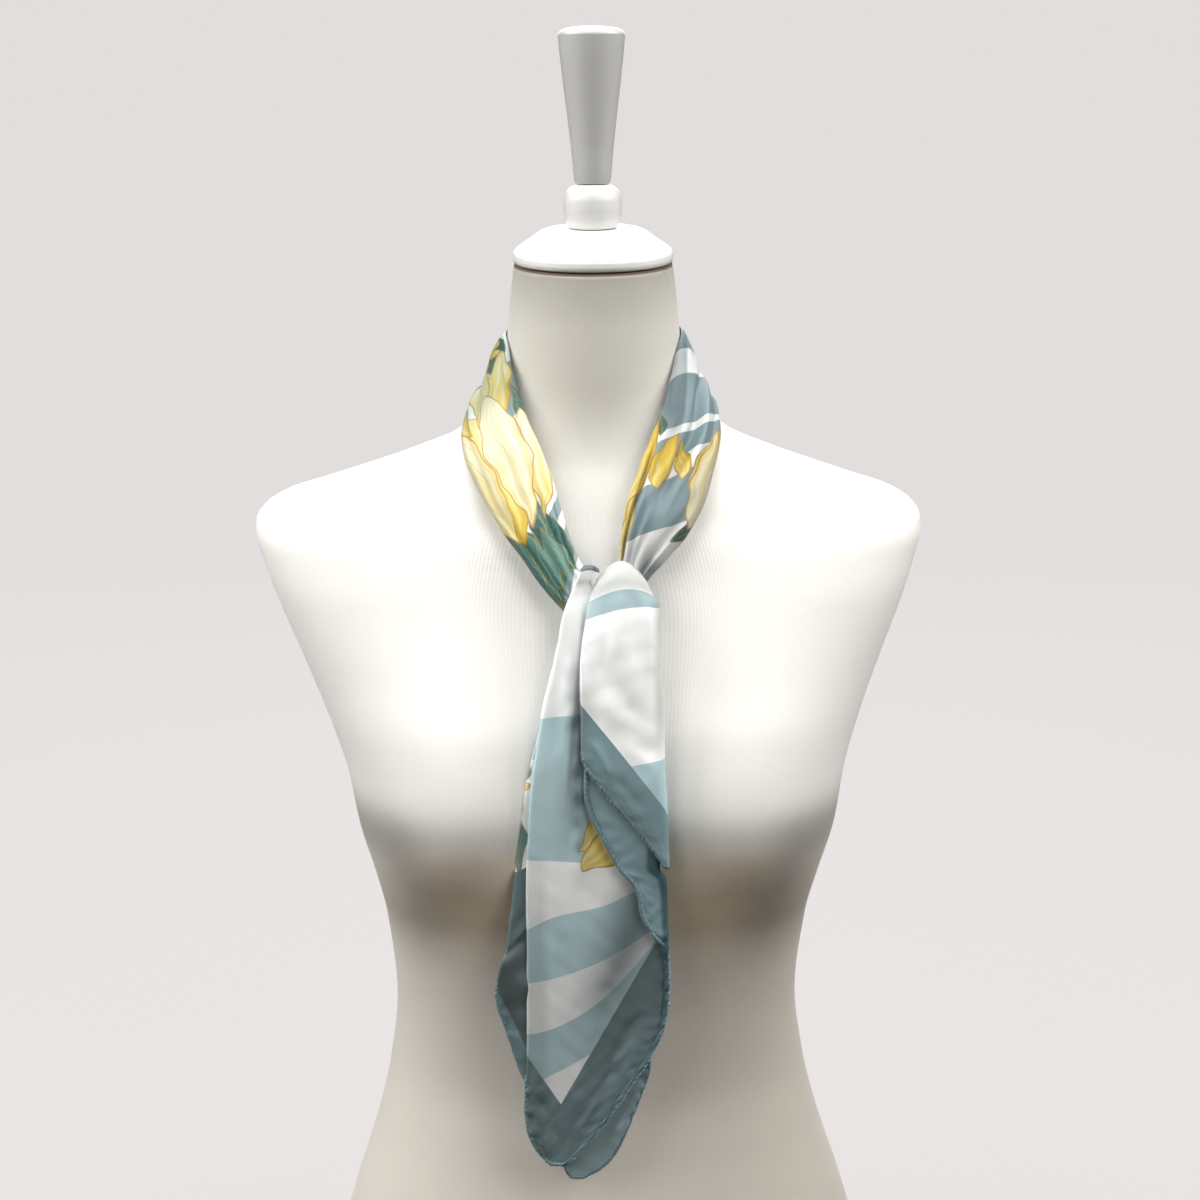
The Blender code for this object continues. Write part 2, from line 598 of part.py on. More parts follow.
def build():
    for old in list(bpy.data.objects):
        bpy.data.objects.remove(old)
    jersey = plain_material("form_cover", WHITE_JERSEY, 0.85)
    paint = plain_material("white_wood", WHITE_PAINT, 0.35)
    white = plain_material("silk_white", SILK_WHITE, 0.45)
    blue = plain_material("silk_blue", SILK_BLUE, 0.45)
    yellow = plain_material("silk_yellow", SILK_YELLOW, 0.45)

    form_body(jersey)
    turned("neck_cap", CAP_PROFILE, paint, lean_below=CAP_PROFILE[-1][1] + 1)
    turned("cap_ball", BALL_PROFILE, paint, lean_below=BALL_PROFILE[1][1] + 1)
    turned("cap_handle", HANDLE_PROFILE, paint)

    neck_band((yellow, yellow, yellow))
    knot_core(blue)
    tail("scarf_over_tail", OVER_TAIL_ROWS, white)
    tail("scarf_main_tail", MAIN_TAIL_ROWS, white, right_way=FORWARD)
    tail("scarf_under_tail", UNDER_TAIL_ROWS, blue)


build()
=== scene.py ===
"""The dressed look of a silk square scarf, tied loosely round the neck of a limbless dress form.

The tables are in millimetres. +Z is up, -Y is the front, and the form stands on the floor, at z = 0.
"""

import math
from functools import partial

import bpy
import numpy as np
from mathutils import Matrix, Vector


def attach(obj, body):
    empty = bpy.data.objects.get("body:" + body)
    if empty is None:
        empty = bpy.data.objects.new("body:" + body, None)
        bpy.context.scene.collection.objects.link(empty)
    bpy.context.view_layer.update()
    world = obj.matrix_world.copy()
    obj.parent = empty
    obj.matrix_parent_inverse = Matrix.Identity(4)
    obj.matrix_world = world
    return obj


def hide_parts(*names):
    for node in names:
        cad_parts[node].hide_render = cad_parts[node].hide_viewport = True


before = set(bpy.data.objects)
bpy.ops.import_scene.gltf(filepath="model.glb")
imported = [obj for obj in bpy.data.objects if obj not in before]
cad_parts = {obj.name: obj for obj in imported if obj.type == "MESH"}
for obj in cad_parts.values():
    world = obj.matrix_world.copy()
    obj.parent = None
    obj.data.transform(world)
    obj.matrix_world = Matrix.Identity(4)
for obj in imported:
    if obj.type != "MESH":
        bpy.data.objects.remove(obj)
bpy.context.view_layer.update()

# --- The view ------------------------------------------------------------------------------------------
# One camera stands well back from the chest at the height of the neck. It looks a little down, and it
# leans by a fraction of a degree.
CAMERA_PLACE = (0.0026, -1.4, 0.755)
CAMERA_DOWN = math.radians(11.46)
CAMERA_LEAN = math.radians(-0.4)
CAMERA_LENS = 72.51  # on a sensor 36 wide

lens = bpy.data.cameras.new("camera")
lens.sensor_width = 36
lens.lens = CAMERA_LENS
lens.clip_start = 0.05
camera = bpy.data.objects.new("camera", lens)
bpy.context.collection.objects.link(camera)
camera.matrix_world = (
    Matrix.Translation(CAMERA_PLACE)
    @ Matrix.Rotation(math.pi / 2 - CAMERA_DOWN, 4, "X")
    @ Matrix.Rotation(CAMERA_LEAN, 4, "Z")
)
bpy.context.scene.camera = camera
bpy.context.scene.view_settings.view_transform = "Standard"


# --- The studio ----------------------------------------------------------------------------------------
# A pale floor that turns up into a pale wall all round, with big soft lamps above, beside, in front of
# and behind the form. The room itself throws no light on it.
class Wire:
    """One output of a shader node. Python's arithmetic on it adds Math nodes."""

    def __init__(self, paint, socket):
        self.paint = paint
        self.socket = socket

    def __add__(self, other):
        return self.paint.maths("ADD", self, other)

    def __radd__(self, other):
        return self.paint.maths("ADD", other, self)

    def __sub__(self, other):
        return self.paint.maths("SUBTRACT", self, other)

    def __rsub__(self, other):
        return self.paint.maths("SUBTRACT", other, self)

    def __mul__(self, other):
        return self.paint.maths("MULTIPLY", self, other)

    def __rmul__(self, other):
        return self.paint.maths("MULTIPLY", other, self)

    def __truediv__(self, other):
        return self.paint.maths("DIVIDE", self, other)

    def __rtruediv__(self, other):
        return self.paint.maths("DIVIDE", other, self)

    def __mod__(self, other):
        return self.paint.maths("FLOORED_MODULO", self, other)

    def __abs__(self):
        return self.paint.maths("ABSOLUTE", self)


class Paint:
    """One material's nodes, on a Principled shader."""

    def __init__(self, name, painted_shade=1.0):
        self.painted_shade = painted_shade  # painted shade: its mixed colours are multiplied by it
        self.material = bpy.data.materials.new(name)
        self.material.use_nodes = True
        self.tree = self.material.node_tree
        self.shader = self.tree.nodes["Principled BSDF"]

    def node(self, kind, settings=None, inputs=None, output=0):
        """Adds a node, sets it up, fills its sockets, and gives one of its outputs."""
        made = self.tree.nodes.new("ShaderNode" + kind)
        for key, value in (settings or {}).items():
            setattr(made, key, value)
        for key, value in (inputs or {}).items():
            self.feed(made.inputs[key], value)
        return Wire(self, made.outputs[output])

    def feed(self, socket, value):
        if isinstance(value, Wire):
            self.tree.links.new(value.socket, socket)
        else:
            socket.default_value = value

    def surface(self, **inputs):
        """Fills the shader's own sockets: Base_Color stands for Base Color."""
        for name, value in inputs.items():
            self.feed(self.shader.inputs[name.replace("_", " ")], value)

    def maths(self, operation, *values):
        return self.node("Math", {"operation": operation}, dict(enumerate(values)))

    def sine(self, value):
        return self.maths("SINE", value)

    def least(self, *values):
        lowest = values[0]
        for value in values[1:]:
            lowest = self.maths("MINIMUM", lowest, value)
        return lowest

    def most(self, *values):
        highest = values[0]
        for value in values[1:]:
            highest = self.maths("MAXIMUM", highest, value)
        return highest

    def within(self, distance, blur=0.15):
        """1 where the distance is above 0, with a soft edge."""
        ends = {"Value": distance, "From Min": -blur, "From Max": blur}
        return self.node("MapRange", {"interpolation_type": "SMOOTHSTEP"}, ends)

    def between(self, value, low, high, low_blur, high_blur=None):
        """1 where the value lies between two others, with soft ends."""
        top = self.within(high - value, high_blur or low_blur)
        return self.within(value - low, low_blur) * top

    def mix(self, share, first, second):
        """A colour between two colours."""
        first, second = (
            end if isinstance(end, Wire) else (*(self.painted_shade * part for part in end), 1)
            for end in (first, second)
        )
        return self.node("Mix", {"data_type": "RGBA"}, {0: share, 6: first, 7: second}, 2)

    def tinted(self, share, first, second):
        """A colour, multiplied by a second one to some share."""
        mixer = {"data_type": "RGBA", "blend_type": "MULTIPLY"}
        return self.node("Mix", mixer, {0: share, 6: first, 7: (*second, 1)}, 2)

    def flat(self):
        """The two distances along the flat piece, in millimetres."""
        self.place = self.node("UVMap", {"uv_map": "flat"})
        parts = self.node("SeparateXYZ", inputs={0: self.place})
        return parts, Wire(self, parts.socket.node.outputs[1])

    def noise(self, size, detail=2.0, roughness=0.5, place=None):
        """Cloudy unevenness from 0 to 1, in patches of one size in millimetres."""
        inputs = {"Vector": place or self.place, "Scale": 1 / size}
        inputs |= {"Detail": detail, "Roughness": roughness}
        return self.node("TexNoise", inputs=inputs)

    def bump(self, height, depth):
        """Relief of a depth in metres."""
        normal = self.node("Bump", inputs={"Height": height, "Distance": depth})
        self.surface(Normal=normal)


MM = 0.001
ROOM_TONE = (0.766, 0.738, 0.730)
ROOM_GLOW = 0.975  # the share of that tone that doesn't depend on the lamps
ROOM_LIT = 0.05  # the share that does
ROOM_SIDES = 96
ROOM_PROFILE = ((1.5, 0), (3.6, 0), (4.4, 0.16), (5, 0.7), (5.2, 1.5), (5.2, 4.5), (3, 6))


def flat_uv(mesh, corners):
    """Lays the mesh's corners on the flat piece: one pair of millimetres for each."""
    layer = mesh.uv_layers.new(name="flat")
    layer.data.foreach_set("uv", np.asarray(corners, np.float32).ravel())


def new_piece(name, points, faces, corners, paints, slots=None):
    """A smooth mesh object, from points in millimetres."""
    mesh = bpy.data.meshes.new(name)
    mesh.from_pydata((np.asarray(points) * MM).tolist(), [], faces)
    for paint in paints:
        mesh.materials.append(paint.material)
    if slots is not None:
        mesh.polygons.foreach_set("material_index", slots)
    flat_uv(mesh, corners)
    mesh.shade_smooth()
    piece = bpy.data.objects.new(name, mesh)
    bpy.context.collection.objects.link(piece)
    return piece


def ringed(name, bodies, flats, paint):
    """A mesh of closed bodies, each through rings of points from its foot up.

    A flat has one more column than its rings have points, as its two ends meet."""
    points = []
    faces = []
    corners = []
    first = 0
    for rings, flat in zip(bodies, flats):
        count, sides = rings.shape[:2]
        index = first + np.arange(count * sides).reshape(count, sides)
        beside = np.roll(index, -1, axis=1)
        quads = np.stack([index[:-1], beside[:-1], beside[1:], index[1:]], axis=-1)
        faces += quads.reshape(-1, 4).tolist()
        faces += [index[0, ::-1].tolist(), index[-1].tolist()]
        patch = np.stack([flat[:-1, :-1], flat[:-1, 1:], flat[1:, 1:], flat[1:, :-1]], axis=2)
        corners += [patch.reshape(-1, 2), flat[0, :-1][::-1], flat[-1, :-1]]
        points.append(rings.reshape(-1, 3))
        first += count * sides
    return new_piece(name, np.concatenate(points), faces, np.concatenate(corners), [paint])


def round_angles(sides):
    """Even angles round a circle."""
    return np.arange(sides) * 2 * math.pi / sides


room_paint = Paint("studio_room")
room_paint.surface(
    Base_Color=(*(ROOM_LIT * part for part in ROOM_TONE), 1),
    Roughness=1.0,
    Specular_IOR_Level=0.0,
    Emission_Color=(*(ROOM_GLOW * part for part in ROOM_TONE), 1),
    Emission_Strength=1.0,
)
room_radius, room_height = np.array(ROOM_PROFILE).T[..., None]
room_turn = round_angles(ROOM_SIDES)[::-1]
room_rings = np.stack(
    [room_radius * np.cos(room_turn), room_radius * np.sin(room_turn), room_height + 0 * room_turn],
    axis=-1,
)
room_flat = np.zeros((len(room_rings), ROOM_SIDES + 1, 2))
room = ringed("studio_room", [room_rings / MM], [room_flat], room_paint)
room.visible_diffuse = False
room.visible_glossy = False

LAMP_COLUMNS = ("name", "place", "size", "power", "colour")
LAMPS = (
    ("lamp_above", (0.0, -0.12, 2.4), 1.4, 34.0, (1.0, 1.0, 0.99)),
    ("lamp_left", (-1.7, -0.3, 1.7), 1.3, 47.0, (1.0, 0.99, 0.97)),
    ("lamp_right", (1.7, -0.2, 1.9), 1.3, 44.0, (1.0, 0.99, 0.97)),
    ("lamp_front_left", (-1.3, -1.9, 2.0), 1.3, 18.5, (1.0, 0.99, 0.96)),
    ("lamp_front_right", (1.3, -1.9, 2.0), 1.3, 27.0, (1.0, 0.99, 0.96)),
    ("lamp_low", (0.0, -2.0, -0.6), 1.6, 3.0, (1.0, 0.66, 0.36)),
    ("lamp_back", (0.0, 1.9, 1.5), 1.4, 22.0, (1.0, 0.99, 0.98)),
)
LAMP_AIM = Vector((0, 0, 0.45))
ROOM_LIGHT = (0.012, 0.011, 0.010)

for row in LAMPS:
    lamp_row = dict(zip(LAMP_COLUMNS, row))
    light = bpy.data.lights.new(lamp_row["name"], "AREA")
    light.size = lamp_row["size"]
    light.energy = lamp_row["power"]
    light.color = lamp_row["colour"]
    lamp = bpy.data.objects.new(lamp_row["name"], light)
    bpy.context.collection.objects.link(lamp)
    lamp.location = lamp_row["place"]
    toward = LAMP_AIM - lamp.location
    lamp.rotation_euler = toward.to_track_quat("-Z", "Y").to_euler()
    lamp.visible_camera = False
world = bpy.data.worlds.new("studio")
world.use_nodes = True
world.node_tree.nodes["Background"].inputs["Color"].default_value = (*ROOM_LIGHT, 1)
bpy.context.scene.world = world


# --- The form ------------------------------------------------------------------------------------------
# A torso of foam on a shell, cut off at hip and shoulder, under one tube of white jersey. The jersey is
# pulled over it from below, and its top is tucked in under the neck's wooden cap.
FORM_COLUMNS = ("height", "half_width", "front", "back", "squareness", "sway")
FORM_ROWS = (
    (0, 159, 97, 112, 2.3, -0.8),
    (4, 162, 99, 115, 2.3, -0.8),
    (48, 164.5, 99.5, 118, 2.3, -0.8),
    (97, 152.5, 93.5, 113, 2.3, -0.8),
    (156, 133.8, 84, 99, 2.25, -1),
    (190, 125.8, 81, 91.5, 2.2, -1.2),
    (234, 120.6, 81.5, 86, 2.45, -1.4),
    (286, 125.6, 86, 86, 2.75, -0.9),
    (317, 132.8, 90.5, 91, 2.8, -0.3),
    (348, 141, 95.5, 96, 2.9, 0),
    (380, 146.4, 98, 101, 3, -0.4),
    (410, 155.6, 97, 105, 3.05, -1.2),
    (441, 167.4, 91.5, 107, 3.05, -2),
    (481, 183.6, 82, 106, 2.95, -3),
    (502, 190.8, 76.5, 103, 2.75, -3.6),
    (515, 194.2, 72.5, 99, 2.6, -3.9),
    (523, 193.8, 69, 96, 2.52, -4),
    (530, 189.5, 66, 92, 2.45, -4),
    (537, 178.5, 63.5, 88, 2.4, -3.8),
    (543, 160, 61.5, 84, 2.35, -3),
    (551, 135.6, 59, 79, 2.3, -2),
    (560, 109.5, 56.5, 74, 2.25, -1.2),
    (573, 79, 54.5, 67, 2.2, -0.5),
    (590, 61, 53, 61.5, 2.1, 0),
    (607, 53.3, 52, 58, 2.05, 0),
    (630, 49.7, 50.5, 54, 2, 0),
    (653, 47.6, 48.5, 50, 2, 0),
    (669, 45.4, 45.8, 46.2, 2, 0),
)
BUST_HEIGHT = 353
BUST_APART = 82
BUST_DEPTH = 27
BUST_SPREAD = 42
BUST_RISE = 60
BUST_FALL = 31
BUST_FADE = 0.6  # the share of the depth that it grows over, from the side's middle to the front
NECK_LEAN = math.tan(math.radians(4.5))
NECK_LEAN_FROM = 630
FORM_SIDES = 240
FORM_STEP = 3.6  # between two rings
FORM_RADIUS = 115  # which its flat places are measured on
SEAM = 0.3  # left open under the cap
# Where the jersey is gathered in under the cap: its place round the neck in degrees from +X towards +Y,
# the place where it runs out below, its length, its depth and half its width.
GATHER_COLUMNS = ("top", "foot", "length", "depth", "width")
GATHERS = (
    (-31, -20, 17, 1.3, 0.9),
    (-26, -13, 12, 1, 0.8),
    (-20, -4, 20, 1.2, 1),
    (-12, 4, 12, 0.8, 0.9),
    (150, 158, 9, 0.5, 1),
    (60, 66, 14, 0.9, 1.1),
    (104, 99, 11, 0.8, 1.1),
)
JERSEY_WHITE = (0.86, 0.85, 0.82)
JERSEY_SHADE = (0.78, 0.765, 0.725)
# Painted shade below the bust at the sides and on the right, and a warm painted light under it.
SIDE_PAINTED_SHADE = (0.55, 0.525, 0.49)
RIGHT_SIDE_PAINTED_SHADE = (0.80, 0.785, 0.77)
UNDER_BUST_PAINTED_LIGHT = (1.16, 1.07, 0.92)
# Painted shade and painted light on the jersey, and one dark line. Each row gives two heights, how
# softly the tone between them starts and stops, and the tone. On the front: painted shade at the
# bust's fullest part and painted light just below it. All round: painted shade on the neck and from
# below the bust down to the foot, a painted shadow under the cap, and the dark line where the jersey
# tucks in under the cap.
FRONT_PAINTED_SHADE_AND_LIGHT = ((346, 366, 10, (0.80, 0.80, 0.80)), (304, 337, 10, (1.30, 1.28, 1.25)))
ROUND_PAINTED_SHADE_AND_TUCK_LINE = (
    (572, 900, 34, (0.68, 0.665, 0.62)),
    (-100, 322, 16, (0.84, 0.80, 0.755)),
    (650, 900, 22, (0.62, 0.615, 0.61)),
    (667.6, 900, 0.5, (0.28, 0.19, 0.16)),
)
WALE = 1.15  # one column of stitches
COURSE = 0.9  # one row of them


def through(xs, ys, x):
    """The smooth curve through the points (xs, ys), read at x. It never overshoots its points."""
    xs = np.asarray(xs, float)
    ys = np.asarray(ys, float)
    step = np.diff(xs)
    rise = np.diff(ys) / step
    slope = np.zeros(len(xs))
    same_way = rise[:-1] * rise[1:] > 0
    slope[1:-1][same_way] = (2 * (rise[:-1] * rise[1:])[same_way] / (rise[:-1] + rise[1:])[same_way])
    slope[0] = rise[0]
    slope[-1] = rise[-1]
    i = np.clip(np.searchsorted(xs, x) - 1, 0, len(step) - 1)
    t = np.clip((x - xs[i]) / step[i], 0, 1)
    return (
        ys[i] * (1 + 2 * t) * (1 - t) ** 2
        + ys[i + 1] * (3 - 2 * t) * t**2
        + step[i] * (slope[i] * t * (1 - t) ** 2 - slope[i + 1] * (1 - t) * t**2)
    )


def ease(t):
    """0 below 0, 1 above 1, and a smooth step between."""
    t = np.clip(t, 0, 1)
    return t * t * (3 - 2 * t)


def column(columns, rows, name):
    """One named column of a table."""
    place = columns.index(name)
    return np.array([row[place] for row in rows], float)


def form_size(name, height):
    heights = column(FORM_COLUMNS, FORM_ROWS, "height")
    return through(heights, column(FORM_COLUMNS, FORM_ROWS, name), height)


def bust(x, z):
    """How far the bust stands out from the chest's plain section."""
    reach = np.where(z > BUST_HEIGHT, BUST_RISE, BUST_FALL)
    along = np.exp(-(((z - BUST_HEIGHT) / reach) ** 2) / 2)
    left = np.exp(-(((x + BUST_APART) / BUST_SPREAD) ** 2) / 2)
    right = np.exp(-(((x - BUST_APART) / BUST_SPREAD) ** 2) / 2)
    return BUST_DEPTH * along * (left + right)


def form_point(height, angle):
    """The form's surface at one height, at angles from +X towards +Y."""
    half_width = form_size("half_width", height)
    squareness = form_size("squareness", height)
    c = np.cos(angle)
    s = np.sin(angle)
    depth = np.where(s < 0, form_size("front", height), form_size("back", height))
    x = half_width * np.sign(c) * np.abs(c) ** (2 / squareness)
    y = depth * np.sign(s) * np.abs(s) ** (2 / squareness)
    frontness = ease(-y / depth / BUST_FADE)
    x = x + form_size("sway", height)
    lean = ease((height - NECK_LEAN_FROM) / (FORM_ROWS[-1][0] - NECK_LEAN_FROM))
    return np.stack([x, y - bust(x, height) * frontness, height + y * NECK_LEAN * lean], axis=-1)


def outside_form(points):
    """How far each point lies outside the form, along its own level."""
    x, y, z = np.moveaxis(points, -1, 0)
    front = form_size("front", z)
    y = y + bust(x, z) * ease(-y / front / BUST_FADE)
    x = x - form_size("sway", z)
    depth = np.where(y < 0, front, form_size("back", z))
    n = form_size("squareness", z)
    share = (np.abs(x / form_size("half_width", z)) ** n + np.abs(y / depth) ** n) ** (1 / n)
    return np.hypot(x, y) * (1 - 1 / np.maximum(share, 0.05))


def clear_of_form(points, clearance):
    """The points, with any that come too near the form moved straight out from its surface."""
    small = 0.05
    for _ in range(4):
        level = outside_form(points)
        slope = np.stack(
            [(outside_form(points + small * axis) - level) / small for axis in np.eye(3)],
            axis=-1,
        )
        size = np.linalg.norm(slope, axis=-1, keepdims=True)
        short = np.clip(clearance - level / size[..., 0], 0, 3)
        points = points + slope / size * short[..., None]
    return points


def summed(steps):
    """The distance along a line to each of its points, from the steps between them."""
    return np.concatenate([[0], np.cumsum(steps)])


def spread(across, along):
    """The flat places of a grid, from its distances across and along."""
    return np.stack(np.meshgrid(across, along), axis=-1)


def evenly(xs, ys, step):
    """Places along a curve through table points, a step apart, read as its first coordinate."""
    fine = np.linspace(xs[0], xs[-1], 4000)
    path = summed(np.hypot(np.diff(fine), np.diff(through(xs, ys, fine))))
    count = int(path[-1] / step) + 2
    return np.interp(np.linspace(0, path[-1], count), path, fine)


def gathered(height, angles, rings):
    """The rings of the neck, with the gathers under its cap pressed in."""
    top = FORM_ROWS[-1][0]
    for row in GATHERS:
        crease = dict(zip(GATHER_COLUMNS, row))
        share = np.clip((top - height) / crease["length"], 0, 1)
        centre = np.radians(crease["top"] + (crease["foot"] - crease["top"]) * share)
        off = (angles[None, :] - centre[:, None] + math.pi) % (2 * math.pi) - math.pi
        radius = np.hypot(rings[..., 0], rings[..., 1])
        depth = crease["depth"] * (1 - ease(share)) * (top - height < crease["length"])
        press = depth[:, None] * np.exp(-((off * radius / crease["width"]) ** 2))
        ridge = 0.5 * depth[:, None] * np.exp(-((np.abs(off * radius) - 2.2 * crease["width"]) ** 2))
        change = (ridge - press)[..., None]
        rings = rings + change * rings * np.array([1, 1, 0]) / radius[..., None]
    return rings


form_rows = column(FORM_COLUMNS, FORM_ROWS, "height")
form_heights = evenly(form_rows, column(FORM_COLUMNS, FORM_ROWS, "half_width"), FORM_STEP)
form_heights[-1] -= SEAM
form_angles = round_angles(FORM_SIDES)
form_rings = np.array([form_point(height, form_angles) for height in form_heights])
form_rings = gathered(form_heights, form_angles, form_rings)
form_flat = spread(np.linspace(0, 2 * math.pi * FORM_RADIUS, FORM_SIDES + 1), form_heights)

jersey = Paint("white_jersey")
round_form, up_form = jersey.flat()
drift = jersey.noise(60, 2.0)
wale = jersey.sine((round_form + 1.2 * drift) * (2 * math.pi / WALE))
loop = jersey.sine(up_form * (2 * math.pi / COURSE) + 1.6 * abs(wale))
yarn = jersey.noise(0.9, 3.0, 0.6)
knit = 0.45 * wale + 0.2 * loop + 0.9 * yarn
cloudy = jersey.noise(38, 3.0)
shade = 0.30 * cloudy + 0.10 * (0.5 - 0.5 * wale) + 0.25 * yarn - 0.10
jersey_tone = jersey.mix(jersey.most(0.0, shade), JERSEY_WHITE, JERSEY_SHADE)
sideways = jersey.sine(round_form / FORM_RADIUS + math.pi / 2)
forward = jersey.within(-0.1 - jersey.sine(round_form / FORM_RADIUS), 0.3)
# Painted on the front: shade at the sides under the bust and at the right below it, warm light between.
hollow = jersey.between(up_form, 280, 368, 26, 18) * jersey.within(abs(sideways) - 0.56, 0.18)
jersey_tone = jersey.tinted(hollow * forward, jersey_tone, SIDE_PAINTED_SHADE)
waist = jersey.within(sideways - 0.45, 0.4) * jersey.within(350 - up_form, 24)
jersey_tone = jersey.tinted(waist * forward, jersey_tone, RIGHT_SIDE_PAINTED_SHADE)
warm = jersey.between(up_form, 284, 350, 22, 10) * jersey.within(0.62 - abs(sideways), 0.14)
jersey_tone = jersey.tinted(warm * forward, jersey_tone, UNDER_BUST_PAINTED_LIGHT)
for tones, where in ((FRONT_PAINTED_SHADE_AND_LIGHT, forward), (ROUND_PAINTED_SHADE_AND_TUCK_LINE, 1)):
    for low, high, blur, tint in tones:
        level = jersey.between(up_form, low, high, blur) * where
        jersey_tone = jersey.tinted(level, jersey_tone, tint)
jersey.surface(
    Base_Color=jersey_tone,
    Roughness=0.84 + 0.1 * yarn,
    Sheen_Weight=0.25,
    Sheen_Roughness=0.5,
    Specular_IOR_Level=0.25,
)
jersey.bump(knit, 0.00007)
form_cover = ringed("form_cover", [form_rings], [form_flat], jersey)
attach(form_cover, "root")
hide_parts("form_body")


# --- The turned wood -----------------------------------------------------------------------------------
# The neck's cap, the ball on it and the tapered handle are turned from beech on a lathe, sanded and
# lacquered white. They are screwed together through their middles.
WOOD_SIDES = 96
WOOD_STEP = 0.7
WOOD_RADIUS = 20  # which its flat places are measured on
CAP_PROFILE = (
    (43.4, 669.4), (44.6, 669.5), (45.6, 670.4), (46.2, 672.3), (46.1, 674.4), (45.2, 676.4),
    (43.2, 678.3), (39.5, 680.8), (33.5, 685), (31.4, 686.5), (29.4, 687.6), (27.4, 688.3),
    (24.4, 688.7), (18, 688.85), (0.4, 688.9),
)
BALL_PROFILE = (
    (0.4, 689.2), (13.2, 689.2), (14.2, 689.5), (15.2, 691.8), (16.2, 696.3), (16.6, 700.4),
    (16.5, 704), (15.7, 707.9), (14.2, 710.6), (12, 712.4), (9.6, 713.2), (8, 713.4), (0.4, 713.4),
)
HANDLE_PROFILE = (
    (0.4, 713.7), (9.2, 713.7), (9.9, 714.2), (12.1, 734), (14.5, 755), (17, 776), (18.9, 794.8),
    (19, 796.6), (18.5, 798), (17.2, 799.2), (15, 800.2), (11, 801), (5, 801.5), (0.4, 801.6),
)
LACQUER_WHITE = (0.88, 0.88, 0.87)
LACQUER_WORN = (0.74, 0.73, 0.69)
# Painted shade: the three pieces share one lacquer, and each keeps this share of its brightness.
CAP_PAINTED_SHADE = 0.84
BALL_PAINTED_SHADE = 0.74
HANDLE_PAINTED_SHADE = 0.54


def lathe(name, profile, paint, lean_below=0.0):
    """A turned piece. Its rings below one height tip forward with the neck's cut face."""
    profile = np.array(profile)
    length = summed(np.hypot(*np.diff(profile, axis=0).T))
    places = np.unique(np.concatenate([length, np.arange(0, length[-1], WOOD_STEP)]))
    radius = through(length, profile[:, 0], places)[:, None]
    height = through(length, profile[:, 1], places)[:, None]
    angles = round_angles(WOOD_SIDES)
    x = radius * np.cos(angles)
    y = radius * np.sin(angles)
    lean = np.where(height < lean_below, NECK_LEAN, 0)
    rings = np.stack([x, y, height + y * lean], axis=-1)
    flat = spread(np.linspace(0, 2 * math.pi * WOOD_RADIUS, WOOD_SIDES + 1), places)
    return ringed(name, [rings], [flat], paint)


def lacquered(name, painted_shade):
    """White lacquer on turned wood, a little worn and dusty, darkened by a share of painted shade."""
    paint = Paint(name, painted_shade)
    round_wood, along_wood = paint.flat()
    grooves = paint.node("CombineXYZ", inputs={0: round_wood * 0.02, 1: along_wood * 0.9})
    lathe_rings = paint.noise(1.0, 3.0, 0.6, grooves)
    orange_peel = paint.noise(2.2, 2.0)
    worn = paint.within(paint.noise(7, 4.0, 0.65) - 0.70, 0.06)
    dust = paint.noise(14, 3.0)
    paint.surface(
        Base_Color=paint.mix(0.35 * worn + 0.25 * dust, LACQUER_WHITE, LACQUER_WORN),
        Roughness=0.30 + 0.14 * dust + 0.2 * worn,
        Coat_Weight=0.25,
        Coat_Roughness=0.2,
    )
    paint.bump(0.5 * lathe_rings + orange_peel, 0.00006)
    return paint


neck_cap = lathe(
    "neck_cap_turned", CAP_PROFILE, lacquered("cap_lacquer", CAP_PAINTED_SHADE), CAP_PROFILE[-1][1] + 1
)
cap_ball = lathe(
    "cap_ball_turned", BALL_PROFILE, lacquered("ball_lacquer", BALL_PAINTED_SHADE), BALL_PROFILE[1][1] + 1
)
cap_handle = lathe("cap_handle_turned", HANDLE_PROFILE, lacquered("handle_lacquer", HANDLE_PAINTED_SHADE))
for piece, node in ((neck_cap, "neck_cap"), (cap_ball, "cap_ball"), (cap_handle, "cap_handle")):
    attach(piece, "root")
    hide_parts(node)


# --- Silk ----------------------------------------------------------------------------------------------
# One square of thin silk twill, printed on its face, so that its back is a little paler. The edge is
# rolled over by hand to a thin cord and whipped down with silk thread.
SILK_THICKNESS = 0.42  # with the air between its folded layers
GROUND_WHITE = (0.97, 0.985, 0.985)
GROUND_SHADE = (0.84, 0.85, 0.83)
BAND_BLUE = (0.45, 0.64, 0.69)
BORDER_BLUE = (0.075, 0.155, 0.180)
# The border's blue with painted light, for the tail that lies over the knot.
PAINTED_LIT_BORDER = (0.14, 0.26, 0.295)
PETAL_CREAM = (0.92, 0.87, 0.60)
PETAL_YELLOW = (0.85, 0.62, 0.05)
PETAL_GOLD = (0.70, 0.43, 0.01)
PETAL_LINE = (0.42, 0.22, 0.01)
LEAF_TEAL = (0.02, 0.10, 0.09)
LEAF_PALE = (0.11, 0.28, 0.245)
LEAF_LINE = (0.36, 0.29, 0.04)
SILK_SHADE = (0.80, 0.81, 0.82)
TWILL = 0.55  # between two of the weave's slanting ribs


def unit(vectors):
    return vectors / np.maximum(np.linalg.norm(vectors, axis=-1, keepdims=True), 1e-9)


def face_normal(middle):
    """The way that each point of a grid faces."""
    return unit(np.cross(np.gradient(middle, axis=1), np.gradient(middle, axis=0)))


